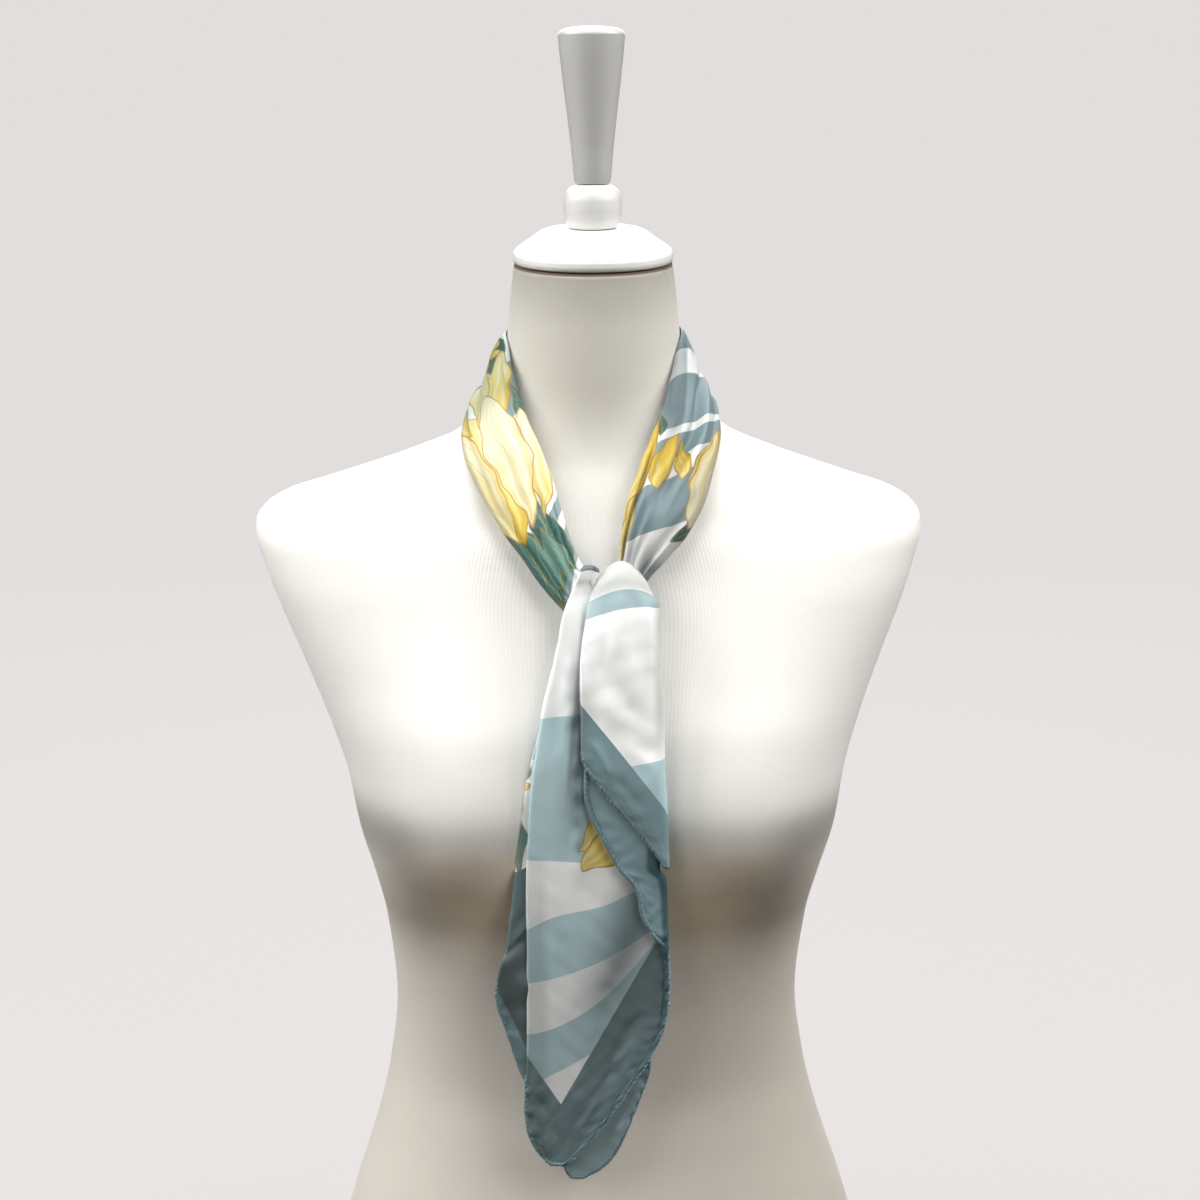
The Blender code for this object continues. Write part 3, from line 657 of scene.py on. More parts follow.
def silk(name, middle, flat, paints, stretches=None):
    """A thin sheet on both sides of a grid of points. flat is each point's place on the square.

    Its last paint is the back's, unless stretches gives the paint of each row."""
    rows, steps = middle.shape[:2]
    half = face_normal(middle) * SILK_THICKNESS / 2
    points = np.stack([middle + half, middle - half]).reshape(-1, 3)
    places = np.stack([flat, flat]).reshape(-1, 2)
    index = np.arange(rows * steps).reshape(rows, steps)
    quads = np.stack(
        [index[:-1, :-1], index[:-1, 1:], index[1:, 1:], index[1:, :-1]], axis=-1
    ).reshape(-1, 4)
    under = rows * steps
    rim = np.concatenate([index[0, :-1], index[:-1, -1], index[-1, :0:-1], index[:0:-1, 0]])
    following = np.roll(rim, -1)
    edge = np.stack([following, rim, under + rim, under + following], axis=-1)
    faces = np.concatenate([quads, under + quads[:, ::-1], edge])
    back = len(paints) - 1
    slots = np.repeat([0, back, 0], [len(quads), len(quads), len(edge)])
    if stretches is not None:
        slots[: 2 * len(quads)] = np.tile(np.repeat(stretches, steps - 1), 2)
    piece = new_piece(name, points, faces.tolist(), places[faces.ravel()], paints, slots.tolist())
    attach(piece, "root")
    return piece


def finish_silk(paint, colour, back):
    """The weave, the sheen and the slight unevenness that all of the square has."""
    rib = paint.sine((paint.u + 0.8 * paint.v) * (2 * math.pi / TWILL))
    grain = paint.noise(0.8, 3.0, 0.65)
    cloud = paint.noise(16, 3.0)
    colour = paint.tinted(0.22 * cloud + 0.26 * grain, colour, SILK_SHADE)
    if back:
        colour = paint.mix(0.08, colour, GROUND_SHADE)
    paint.surface(
        Base_Color=colour,
        Roughness=0.34 + 0.12 * grain + 0.08 * cloud,
        Sheen_Weight=0.08,
        Sheen_Roughness=0.35,
        Specular_IOR_Level=0.5,
    )
    paint.bump(0.6 * rib + 0.8 * grain, 0.00005)


def silk_paints(name, draw, sides=("face", "back"), painted_shade=1.0):
    """A stretch of the square's face and back. draw(paint) gives its print, painted shade and light."""
    paints = []
    for side in sides:
        paint = Paint(f"{name}_{side}", painted_shade)
        paint.u, paint.v = paint.flat()
        sway = paint.noise(14, 0.0) - 0.5
        aside = paint.node("VectorMath", inputs={0: paint.place, 1: (40, 7, 0)})
        swing = paint.noise(12, 0.0, 0.5, aside) - 0.5
        paint.drawn_u = paint.u + 7.0 * sway
        paint.drawn_v = paint.v + 6.0 * swing
        finish_silk(paint, draw(paint), side == "back")
        paints.append(paint)
    return paints


def bars(paint, distance, ends):
    """1 inside each of the stretches of a table, along one distance."""
    return paint.within(
        paint.most(*(paint.least(distance - start, stop - distance) for start, stop in ends))
    )


# The printed blossoms, leaves and petals: where a blossom's middle or the others' stalk is on the flat
# cloth, and the size. A turn is in degrees from +u, or a share of one petal for a blossom.
FLOWER_COLUMNS = ("u", "v", "radius", "petals", "turn", "gold")
LEAF_COLUMNS = ("u", "v", "length", "width", "turn", "bow", "pale")
PETAL_COLUMNS = ("u", "v", "length", "width", "turn", "bow", "gold")


def flower(paint, colour, row):
    """Prints an open blossom over a colour: veined petals with a gold outline round a deeper throat."""
    size = dict(zip(FLOWER_COLUMNS, row))
    du = paint.drawn_u - size["u"]
    dv = paint.drawn_v - size["v"]
    reach = paint.maths("SQRT", du * du + dv * dv)
    petals = size["petals"]
    way = paint.maths("ARCTAN2", dv, du) * (petals / (2 * math.pi)) + size["turn"] + 10
    off = abs(way % 1 - 0.5) * 2
    outline = size["radius"] * (1 - 0.62 * off * off)
    share = reach / size["radius"]
    outward = paint.node("CombineXYZ", inputs={0: way * 8, 1: reach * 0.035, 2: size["u"]})
    streak = paint.noise(1.0, 1.0, 0.5, outward)
    petal = paint.mix(share * 1.25 - 0.12 - 0.5 * size["gold"], PETAL_YELLOW, PETAL_CREAM)
    petal = paint.mix(0.55 * off * off * streak + 0.35 * size["gold"], petal, PETAL_GOLD)
    petal = paint.mix(0.8 * paint.within(0.035 - abs(streak - 0.52), 0.02), petal, PETAL_GOLD)
    petal = paint.mix(paint.within(0.20 - share + 0.3 * (streak - 0.5), 0.10), petal, PETAL_GOLD)
    between = (1 - off) * reach * (math.pi / petals)
    line = paint.most(0.42 - between, 0.55 - abs(outline - reach))
    petal = paint.mix(0.75 * paint.within(line, 0.2), petal, PETAL_LINE)
    return paint.mix(paint.within(outline - reach), colour, petal)


def laid(paint, size):
    """A long bent shape: the place along it (0 to 1), how full it is there, how far off its middle."""
    turn = math.radians(size["turn"])
    du = paint.drawn_u - size["u"]
    dv = paint.drawn_v - size["v"]
    along = (du * math.cos(turn) + dv * math.sin(turn)) / size["length"]
    along = paint.least(paint.most(along, -0.5), 1.5)
    belly = along * (1 - along) * 4
    off = dv * math.cos(turn) - du * math.sin(turn) - size["bow"] * belly
    return along, belly, off


def leaf(paint, colour, row):
    """Prints a long bent leaf over a colour: speckled, with a gold rim and midrib."""
    size = dict(zip(LEAF_COLUMNS, row))
    along, belly, off = laid(paint, size)
    inside = size["width"] / 2 * belly * (1.25 - 0.5 * along) - abs(off)
    speckle = paint.within(paint.noise(1.1, 3.0, 0.7) - 0.54, 0.05)
    veins = paint.within(paint.sine(along * size["length"] * 0.9 - abs(off) * 1.1) - 0.86, 0.1)
    pale = size["pale"] + 0.35 * speckle + 0.25 * veins + 0.25 * (along - 0.4)
    blade = paint.mix(pale, LEAF_TEAL, LEAF_PALE)
    line = paint.most(0.35 - abs(off), 0.5 - abs(inside))
    blade = paint.mix(0.85 * paint.within(line, 0.2), blade, LEAF_LINE)
    return paint.mix(paint.within(inside), colour, blade)


def petal(paint, colour, row):
    """Prints a long petal over a colour: cream, with veins from its stalk to its tip, and a gold rim."""
    size = dict(zip(PETAL_COLUMNS, row))
    along, belly, off = laid(paint, size)
    half = size["width"] / 2 * belly * (0.62 + 0.66 * along)
    across = off / paint.most(half, 0.5)
    wandering = paint.noise(24, 0.0)
    ripple = paint.sine(across * 9 + wandering * 7 + size["u"])
    rim = across * across
    depth = size["gold"] + 0.22 * ripple + 0.75 * (0.34 - along) + 0.6 * rim * wandering
    blade = paint.mix(depth, PETAL_CREAM, PETAL_YELLOW)
    blade = paint.mix(depth - 0.75, blade, PETAL_GOLD)
    vein = paint.within(0.15 - abs(ripple), 0.14)
    blade = paint.mix(0.5 * vein, blade, PETAL_GOLD)
    fine = abs(paint.sine(across * 23 + wandering * 15 + size["v"]))
    fine = paint.within(0.10 - fine, 0.12) * paint.within(wandering + along - 0.75, 0.3)
    blade = paint.mix(0.45 * fine, blade, PETAL_GOLD)
    inside = half - abs(off)
    blade = paint.mix(0.75 * paint.within(0.65 - abs(inside - 0.3), 0.3), blade, PETAL_LINE)
    return paint.mix(paint.within(inside), colour, blade)


def waver(u, v, size, seed):
    """Smooth unevenness of about -1 to 1, in patches of one size."""
    chance = np.random.default_rng(seed)
    total = 0
    for _ in range(5):
        way = chance.uniform(0, 2 * math.pi)
        scale = 2 * math.pi / (size * chance.uniform(0.7, 1.8))
        along = u * math.cos(way) + v * math.sin(way)
        total = total + np.sin(along * scale + chance.uniform(0, 6.3))
    return total / 2.6


# A soft trough (depth above 0) or ridge along a bent line from one place on the cloth to another.
FOLD_COLUMNS = ("u", "v", "to_u", "to_v", "bow", "depth", "width")


def relief(flat, folds, seed):
    """How far the folds of a table move the cloth along its own facing."""
    u = flat[..., 0]
    v = flat[..., 1]
    height = np.zeros(u.shape)
    for row in folds:
        fold = dict(zip(FOLD_COLUMNS, row))
        run_u = fold["to_u"] - fold["u"]
        run_v = fold["to_v"] - fold["v"]
        length = math.hypot(run_u, run_v)
        along = ((u - fold["u"]) * run_u + (v - fold["v"]) * run_v) / length**2
        off = ((v - fold["v"]) * run_u - (u - fold["u"]) * run_v) / length
        off = off - fold["bow"] * 4 * along * (1 - along)
        fade = ease(along / 0.3) * ease((1 - along) / 0.3)
        uneven = 1 + 0.25 * waver(u, v, 18, seed)
        height = height - fold["depth"] * fade * uneven * np.exp(-((off / fold["width"]) ** 2))
    return height


# --- The tails -----------------------------------------------------------------------------------------
# The two ends of the square below the knot. Each is a strip whose sides turn under, or fold forward as a
# lapel, down to a corner with its rolled hem. They hang free, one on the other.
TAIL_COLUMNS = (
    *("height", "left", "right", "depth", "belly", "arch"),
    *("left_turn", "left_under", "right_turn", "right_under"),
)
TAIL_PLAIN = (0, 0, 0, 0, 0, 0, 0.9, 1.5, 0.9, 1.5)  # what a row has where it stops short
TAIL_STEP = 1.25  # down the tail
FACE_STEPS = 76
TURN_STEPS = 7
UNDER_STEPS = 12
TAIL_CLEARANCE = 0.9  # the least from the middle of its cloth to the form
BEHIND = 1
FORWARD = -1


def tail_grid(rows, left_way, right_way, level_row):
    """A tail's middle surface, and each point's place on the flat cloth.

    Above the level row, the flat height is measured along the cloth."""
    rows = [row + TAIL_PLAIN[len(row) :] for row in rows]
    index = np.arange(len(rows), dtype=float)
    fine = np.linspace(0, len(rows) - 1, 4000)

    def read(name, at):
        return through(index, column(TAIL_COLUMNS, rows, name), at)

    heights = read("height", fine)
    path = summed(np.hypot(np.diff(heights), np.diff(read("depth", fine))))
    place = np.interp(np.linspace(0, path[-1], int(path[-1] / TAIL_STEP)), path, fine)
    size = {name: read(name, place)[:, None] for name in TAIL_COLUMNS}
    level_path = np.interp(level_row, fine, path)
    level_height = np.interp(level_row, fine, heights)
    above = level_height + level_path - np.interp(place, fine, path)
    level = np.where(place[:, None] < level_row, above[:, None], size["height"])

    turn_l, turn_r = size["left_turn"], size["right_turn"]
    start = size["left"] + turn_l
    end = size["right"] - turn_r
    front = -size["depth"]
    back = np.linspace(1, 0, UNDER_STEPS, endpoint=False)
    bend = np.linspace(math.pi, 0, TURN_STEPS, endpoint=False)
    face = np.linspace(0, 1, FACE_STEPS)

    def side(edge, out, way, turn, under, back, bend):
        """Across one side: the stretch behind or in front of the face, and the turn to it."""
        behind = (
            edge - out * under * back,
            front + way * 2 * turn + 0 * back,
            edge + out * (math.pi * turn + under * back),
        )
        round_edge = (
            edge + out * turn * np.sin(bend),
            front + way * turn * (1 - np.cos(bend)),
            edge + out * turn * bend,
        )
        return behind, round_edge

    face_x = start + (end - start) * face
    parts = [
        *side(start, -1, left_way, turn_l, size["left_under"], back, bend),
        (face_x, front - size["belly"] * 4 * face * (1 - face), face_x),
        *side(end, 1, right_way, turn_r, size["right_under"], back[::-1], bend[::-1])[::-1],
    ]
    x, y, u = (np.concatenate([part[i] for part in parts], axis=1) for i in range(3))
    middle = (size["left"] + size["right"]) / 2
    half = (size["right"] - size["left"]) / 2
    z = size["height"] - size["arch"] * ((x - middle) / half) ** 2
    return np.stack([x, y, z], axis=-1), np.stack([u, level + 0 * u], axis=-1)


def puckered(flat, side, start, stop):
    """The small gathers that a rolled hem draws in the cloth beside it, between two heights."""
    edge = flat[:, 0 if side < 0 else -1, 0][:, None]
    inward = np.abs(flat[..., 0] - edge)
    v = flat[..., 1]
    run = ease((v - start) / 6) * ease((stop - v) / 6)
    wave = waver(v, 0.3 * inward, 6.5, 11 + side) + 0.6 * waver(v, inward, 3.4, 17 + side)
    return 0.55 * run * wave * np.exp(-inward / 6.0) * ease(inward / 1.5)


def hang(name, rows, ways, level_row, folds, hems, seed, draw):
    """One tail in silk. Gives its piece, its middle surface and its flat places.

    Each of its hems is a side, -1 or 1, and the two heights that it runs between."""
    middle, flat = tail_grid(rows, *ways, level_row)
    move = relief(flat, folds, seed) + 0.12 * waver(flat[..., 0], flat[..., 1], 14, seed + 1)
    for side, start, stop in hems:
        move = move + puckered(flat, side, start, stop)
    middle = clear_of_form(middle + face_normal(middle) * move[..., None], TAIL_CLEARANCE)
    piece = silk(name, middle, flat, silk_paints(name, draw))
    return piece, middle, flat


def flat_size(flat):
    """The width, the length and the area of a stretch of the square, in metres."""
    u = flat[..., 0]
    v = flat[..., 1]
    width = np.ptp(u) * MM
    length = np.ptp(v) * MM
    one = (u[1:, 1:] - u[:-1, :-1]) * (v[1:, :-1] - v[:-1, 1:])
    two = (u[1:, :-1] - u[:-1, 1:]) * (v[1:, 1:] - v[:-1, :-1])
    area = abs(float(np.sum(one - two))) / 2 * MM**2
    return (round(width, 4), round(length, 4)), round(area, 5)


OVER_TAIL_ROWS = (
    (506, 4, 22, 91.2, 0, 3),
    (509.5, 3.8, 23, 91.8, 0, 5.5),
    (511.8, 3.6, 24.3, 94, 0, 7.5),
    (512.4, 3.4, 25.5, 98, 0, 8.5),
    (511.8, 2.3, 27, 102.5, 0.3, 8.5, 0.9, 1.5, 1.2),
    (508.8, 0.8, 28.8, 106.5, 0.8, 8, 0.9, 2, 1.9, 2.5),
    (503, -1.6, 31, 109.4, 1.8, 6.5, 2, 3, 3.2, 5),
    (494, -3.6, 35, 111.6, 2.6, 4.5, 2.4, 4, 4.2, 6),
    (484, -5.4, 35.2, 114, 3, 3, 2.5, 5, 4.6, 6),
    (471, -7.4, 34.8, 116.5, 3.2, 1.5, 2.7, 6, 4.9, 6),
    (455, -8.6, 35.5, 118.6, 3.4, 0.6, 2.8, 7, 5.1, 7),
    (439, -8.4, 37.1, 120.4, 3.4, 0, 2.6, 7, 4.9, 12),
    (425, -8.2, 37.6, 121.9, 3, 0, 2, 5, 4.5, 12),
    (413, -8.3, 37.4, 123.8, 2.4, 0, 1.3, 2.5, 4.6, 12),
    (404, -6, 37.6, 125.4, 2, 0, 0.9, 1.5, 4.9, 12),
    (394, 0.8, 38.1, 126.6, 1.6, 0, 0.9, 1.5, 5, 12),
    (382, 10.6, 38.6, 127.2, 1.2, 0, 0.9, 1.5, 5.2, 11),
    (371, 19.6, 39.1, 127.4, 0.8, 0, 0.9, 1.5, 5.1, 10),
    (362, 27, 39.4, 127.4, 0.3, 0, 0.9, 1.5, 5, 5),
    (355.5, 31.6, 39.6, 127.4, 0, 0, 0.9, 1.2, 4.6, 0.6),
    (350, 35.2, 39.8, 127.3, 0, 0, 0.9, 0.4, 2.6, 0.3),
    (346, 37.4, 39.9, 127.2, 0, 0, 0.9, 0.3, 1.3, 0.3),
)
OVER_TAIL_FOLDS = (
    (6, 500, 2, 452, 1.5, -0.7, 3.2),
    (14, 503, 12, 462, 0, 0.6, 3),
    (20, 503, 22, 455, 1, -0.6, 3.4),
    (27, 500, 30, 450, 1, 0.7, 2.6),
    (2, 470, 30, 425, -5, -0.7, 6),
    (0, 448, 34, 412, -4, 0.7, 6.5),
    (6, 430, 36, 402, 3, -0.6, 5.5),
    (12, 416, 38, 396, 2, 0.5, 4),
    (-6, 420, 8, 396, 2, 0.6, 2.5),
    (8, 400, 26, 378, 1, -0.5, 3),
)
KNOT_TOP_PAINTED_SHADE = (0.47, 0.475, 0.46)  # painted shade on the top, where the tail rises over the knot
# The band's blue, darkened by painted shade on the stripe under the knot.
PAINTED_SHADE_STRIPE = (0.365, 0.52, 0.565)
# Painted shade along the tail's edges.
EDGE_SHADE = (0.62, 0.62, 0.60)


def draw_over_tail(paint):
    """White, with one curved band under the knot, the border along the hem and a pale corner."""
    u, v = paint.u, paint.v
    band = paint.least(498.2 + 0.1 * u - v, v - 487.1 - 0.16 * u)
    colour = paint.mix(paint.within(band), GROUND_WHITE, PAINTED_SHADE_STRIPE)
    colour = paint.mix(paint.within(404.2 + 0.15 * (u - 18) - v), colour, BAND_BLUE)
    border = 0.79 * (-8.1 - u) + 0.613 * (438.5 - v) + 0.0016 * (u - 4) * (36 - u)
    colour = paint.mix(paint.within(border), colour, PAINTED_LIT_BORDER)
    colour = paint.tinted(paint.within(v - 500, 5), colour, KNOT_TOP_PAINTED_SHADE)
    # Painted shade along the right edge, where the tail turns away, and along the lower left edge.
    right = paint.within(u - 33, 3) * paint.within(v - 420, 20)
    left = paint.within(-2 - u, 6) * paint.within(444 - v, 12)
    return paint.tinted(paint.most(right, left), colour, EDGE_SHADE)


over_tail, over_middle, over_flat = hang(
    "scarf_over_tail_silk",
    OVER_TAIL_ROWS,
    (BEHIND, BEHIND),
    level_row=7,
    folds=OVER_TAIL_FOLDS,
    hems=((-1, 346, 414),),
    seed=3,
    draw=draw_over_tail,
)
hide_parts("scarf_over_tail")

MAIN_TAIL_ROWS = (
    (506.5, -6.6, 1, 96.4, 0, 1.8),
    (509.6, -7, 1.6, 97.2, 0, 2),
    (510.9, -7.6, 2, 99.3, 0, 2.2),
    (508.8, -8, 2.2, 101.8, 0, 1.2),
    (504, -9.8, 0.3, 101.8, 0, 0.5),
    (500, -11.4, 1, 101.4, 0, 0.2, 0.9, 1.8),
    (495, -13.4, 6.4, 101.9, 0, 0, 0.9, 2),
    (484, -17.6, 15, 104.8, 0.3, 0, 1.2, 3.5),
    (469, -20.6, 19, 107.6, 0.5, 0, 1.6, 7),
    (452, -24.6, 22.4, 110.4, 0.5, 0, 1.9, 11),
    (437, -28.6, 30, 112.9, 0.4, 0, 1.9, 14, 1.2, 3),
    (424, -30.9, 33, 114.8, 0.4, 0, 1.9, 14, 1.8, 11),
    (410, -33.2, 35, 116.8, 0.4, 0, 1.8, 14, 2.2, 29),
    (402, -34.4, 35.7, 117.8, 0.3, 0, 1.5, 14, 2.2, 39),
    (388, -36.1, 35.9, 118.7, 0.2, 0, 1.5, 14, 2.2, 39.5),
    (376, -37.2, 36.2, 119.2, 0, 0, 1.5, 14, 2.2, 37.1),
    (363, -38, 35.4, 119.4, 0, 0, 1.5, 14, 2.2, 30.3),
    (346, -39, 34.8, 119.5, 0, 0, 1.5, 14, 2.2, 20.7),
    (338, -39.3, 38, 119.5, 0, 0, 1.6, 14, 2.2, 17),
    (330, -39.5, 38.6, 119.5, 0, 0, 1.7, 14, 2.2, 13.4),
    (319, -39.5, 38.9, 119.5, 0, 0, 1.7, 14, 2.2, 12),
    (307, -39.4, 39.2, 119.5, 0, 0, 1.7, 14, 2.2, 6.4),
    (297, -39.4, 39.2, 119.5, 0, 0, 1.7, 14, 1.5, 1.7),
    (284, -39.6, 39.5, 119.5, 0, 0, 1.7, 14),
    (268, -39.8, 39.2, 119.5, 0, 0, 1.7, 14),
    (252, -40, 36.9, 119.6, 0, 0, 1.7, 13),
    (235, -40.3, 29.5, 119.7, 0, 0, 1.5, 8),
    (218, -41, 18.6, 119.8),
    (200, -41.4, 7, 119.8),
    (186, -39.2, -3.5, 119.8),
    (175, -33.6, -13.2, 119.8),
    (169, -28, -18.6, 119.8),
)
MAIN_TAIL_FOLDS = (
    (-14, 470, -10, 330, 1, 3, 4.6),
    (-19, 440, -16, 330, 1, -0.7, 4),
    (-20, 470, -27, 380, 1, -0.5, 4),
    (-34, 330, -10, 250, 3, -0.5, 7),
    (10, 300, -8, 222, -3, 0.6, 7),
    (26, 262, 2, 214, -2, -1.1, 3.4),
    (20, 244, -10, 196, -2, 0.9, 2.8),
    (12, 232, -14, 188, -2, -1, 2.4),
    (4, 212, -18, 182, -1, 0.6, 2.4),
    (-36, 212, -22, 180, 1, -0.6, 3),
)

# The blue print on the cloth's back, darkened by painted shade where the tail's top curls over.
CURL_PRINT_AND_PAINTED_SHADE = (0.05, 0.085, 0.10)  # print and painted shade, where the tail's top curls over
# Painted light on the border: the lapel, the under tail's lowest border, and folds catching the light.
BORDER_LIT = (0.25, 0.38, 0.425)  # painted light and painted highlights on the border
# Painted shade: in troughs beside the tails, on the turned left edge and below the bust.
TROUGH_SHADE = (0.22, 0.26, 0.28)
LOW_SHADE = (0.74, 0.75, 0.75)
LAP_SHADE = (0.50, 0.52, 0.52)
MAIN_TAIL_PETALS = ((34, 394, 60, 21, -138, 2, 0.85), (33, 374, 52, 21, -143, -2, 1.05))


def draw_main_tail(paint):
    """Bands of blue and white that fan out from the right, inside the corner of the border."""
    u, v = paint.u, paint.v
    across = u + 39
    colour = GROUND_WHITE
    for band_top, shade in (
        (428.0 + 0.11 * (u + 31), BAND_BLUE),
        (349.0 - 0.05 * across, GROUND_WHITE),
        (308.6 + 0.36 * across + 1.6 * paint.sine(across * 0.11), BAND_BLUE),
        (277.2 + 0.12 * across + 0.0047 * across * across, GROUND_WHITE),
        (247.1 + 0.12 * across + 0.0092 * across * across, BAND_BLUE),
        (219.8 + 0.56 * (u + 32.5) + 0.0025 * (u + 32.5) * (u + 2.5), GROUND_WHITE),
    ):
        colour = paint.mix(paint.within(band_top - v), colour, shade)
    colour = paint.mix(paint.within(v - 508.4), colour, CURL_PRINT_AND_PAINTED_SHADE)
    right = 0.872 * (u + 21.4) - 0.490 * (v - 205.3)
    left = -0.838 * (u + 21.4) - 0.545 * (v - 205.3)
    lapel = paint.least(u - 37.2, v - 292)
    border = paint.within(paint.most(right, left, lapel))
    for row in MAIN_TAIL_PETALS:
        colour = petal(paint, colour, row)
    colour = paint.mix(border, colour, BORDER_BLUE)
    # Painted highlights: streaks where the border's folds catch the light, and a strip inside the right
    # hem.
    slant = {0: 0.035 * (0.66 * u + 0.75 * v), 1: 0.17 * (0.75 * u - 0.66 * v)}
    glint = paint.noise(1.0, 1.0, 0.4, paint.node("CombineXYZ", inputs=slant))
    glint = paint.within(glint - 0.54, 0.16) * border * paint.within(238 - v, 26)
    beside = paint.within(right - 16.5, 4) * paint.within(258 - v, 20)
    colour = paint.mix(0.42 * glint + 0.22 * beside, colour, BORDER_LIT)
    # The lapel shows the cloth's back, a little paler, and painted light makes it paler still.
    colour = paint.mix(paint.within(u - 45, 1.5), colour, BORDER_LIT)
    # Painted shade in troughs beside the over tail and the lapel's hem, on the left edge and low down.
    hidden = paint.within(4.6 - abs(u + 11.8 - 0.02 * (v - 390)), 4.4)
    close = paint.within(1.1 - abs(u + 7.4 + 0.1 * (471 - v)), 1.5)
    lee = paint.within(13 - abs(u - 2.6 - 0.38 * (v - 265)), 14)
    for trough, *ends, share in (
        (hidden, 366, 452, 20, 26, 0.95),
        (close, 392, 486, 20, 8, 0.75),
        (lee, 258, 346, 34, 16, 1.0),
    ):
        colour = paint.tinted(share * trough * paint.between(v, *ends), colour, TROUGH_SHADE)
    turned = paint.within(-29 - u, 4) * paint.within(342 - v, 24)
    colour = paint.tinted(0.5 * turned, colour, LAP_SHADE)
    return paint.tinted(paint.within(296 - v, 40), colour, LOW_SHADE)


main_tail, main_middle, main_flat = hang(
    "scarf_main_tail_silk",
    MAIN_TAIL_ROWS,
    (BEHIND, FORWARD),
    level_row=4,
    folds=MAIN_TAIL_FOLDS,
    hems=((1, 170, 420), (-1, 170, 226)),
    seed=5,
    draw=draw_main_tail,
)
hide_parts("scarf_main_tail")

UNDER_TAIL_ROWS = (
    (484, -1.5, 12.5, 94.2),
    (474, -10, 16, 96.6),
    (455, -17, 22, 100.8),
    (435, -23.5, 26, 104.9),
    (415, -32.4, 29, 108.8),
    (398, -37.2, 31, 111.5),
    (383, -40.3, 32.4, 113.3, 0, 0, 1.4, 3),
    (368, -42.5, 33.4, 114.2, 0, 0, 1.6, 5),
    (345, -45, 34, 114.4, 0, 0, 1.6, 8),
    (318, -48.2, 34, 114.4, 0, 0, 1.6, 10),
    (294, -51.9, 34, 114.4, 0, 0, 1.6, 10),
    (281, -55.8, 34, 114.4, 0, 0, 1.4, 6),
    (272, -57.3, 34, 114.4),
    (263, -56.6, 33.6, 114.4),
    (243, -50, 30, 114.4),
    (224, -43.6, 28.9, 114.4),
    (213, -39, 25.6, 114.4),
    (190, -30, 17, 114.4),
    (173, -23, 9.5, 114.4),
    (164, -19.6, 1, 114.4),
    (158.6, -16.6, -8, 114.4),
)
UNDER_TAIL_FOLDS = (
    (-44, 306, -38, 205, 1.5, 4.2, 6.5),
    (-55, 288, -40, 304, 0, -1.6, 2.6),
    (-56, 290, -38, 320, 0, -0.9, 3),
    (-50, 262, -30, 200, -2, 0.7, 4),
    (-36, 236, -20, 180, -1, -0.6, 3),
    (28, 222, 4, 172, -2, 0.8, 3.2),
    (20, 206, -6, 166, -2, -0.7, 3),
)
# Painted shade, teal, in the hollow of the fold at the tail's left.
HOLLOW_SHADE = (0.0, 0.16, 0.155)


def draw_under_tail(paint):
    """Leaves and yellow shoots on pale blue above, and the border below."""
    u, v = paint.u, paint.v
    colour = paint.mix(paint.within(404 - v), BAND_BLUE, GROUND_WHITE)
    colour = leaf(paint, colour, (-38, 424, 38, 9, -98, 1, 0.35))
    colour = flower(paint, colour, (-50, 386, 13, 5, 0.3, 0.9))
    colour = leaf(paint, colour, (-42, 372, 34, 9, -94, -1, 0.6))
    border = paint.within(341.0 + 0.5 * (u + 44) - v)
    colour = paint.mix(border, colour, BORDER_BLUE)
    # Painted light on the lowest stretch of the border, and painted shade in the hollow of the fold.
    colour = paint.mix(border * paint.within(218 - v, 14), colour, BORDER_LIT)
    hollow = paint.least(307 + 1.4 * (u + 41) - v, v - 240 + 2.0 * (u + 41))
    hollow = paint.within(hollow, 1.0) * paint.within(-34 - u, 6.0)
    return paint.tinted(0.94 * hollow, colour, HOLLOW_SHADE)


under_tail, under_middle, under_flat = hang(
    "scarf_under_tail_silk",
    UNDER_TAIL_ROWS,
    (BEHIND, BEHIND),
    level_row=0,
    folds=UNDER_TAIL_FOLDS,
    hems=((-1, 160, 276), (1, 160, 268)),
    seed=7,
    draw=draw_under_tail,
)
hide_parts("scarf_under_tail")


# --- The knot's core -----------------------------------------------------------------------------------
# Where the two ends cross, the square is gathered into one tight bundle of pleats. It hardly shows
# between the two tails that come over it.
KNOT_COLUMNS = ("height", "left", "right", "depth", "half_depth")
KNOT_ROWS = (
    (478.5, -1, 11, 94, 2.2),
    (480.5, -3, 15, 94, 4.6),
    (486, -2.5, 14.5, 94, 5.8),
    (492, 0, 12, 94, 6),
    (498, 3, 9.6, 94.2, 5.6),
    (501, 4.2, 8.6, 94.4, 3),
)
KNOT_SIDES = 120
KNOT_RINGS = 40
KNOT_PLEATS = 13
KNOT_PLEAT_DEPTH = 0.45
KNOT_ROUND = 90  # of cloth, round the pleats
KNOT_BARS = ((478, 484), (491, 499))

knot_heights = column(KNOT_COLUMNS, KNOT_ROWS, "height")
knot_level = np.linspace(knot_heights[0], knot_heights[-1], KNOT_RINGS)[:, None]
knot_size = {
    name: through(knot_heights, column(KNOT_COLUMNS, KNOT_ROWS, name), knot_level)
    for name in KNOT_COLUMNS
}
knot_turn = round_angles(KNOT_SIDES)
pleat = KNOT_PLEAT_DEPTH * np.cos(
    KNOT_PLEATS * knot_turn + knot_level / 6 + 0.8 * np.sin(3 * knot_turn + knot_level / 4)
)
knot_half = (knot_size["right"] - knot_size["left"]) / 2
knot_rings = np.stack(
    [
        knot_size["left"] + knot_half + (knot_half - pleat) * np.cos(knot_turn),
        (knot_size["half_depth"] - pleat) * np.sin(knot_turn) - knot_size["depth"],
        knot_level + 0 * pleat,
    ],
    axis=-1,
)
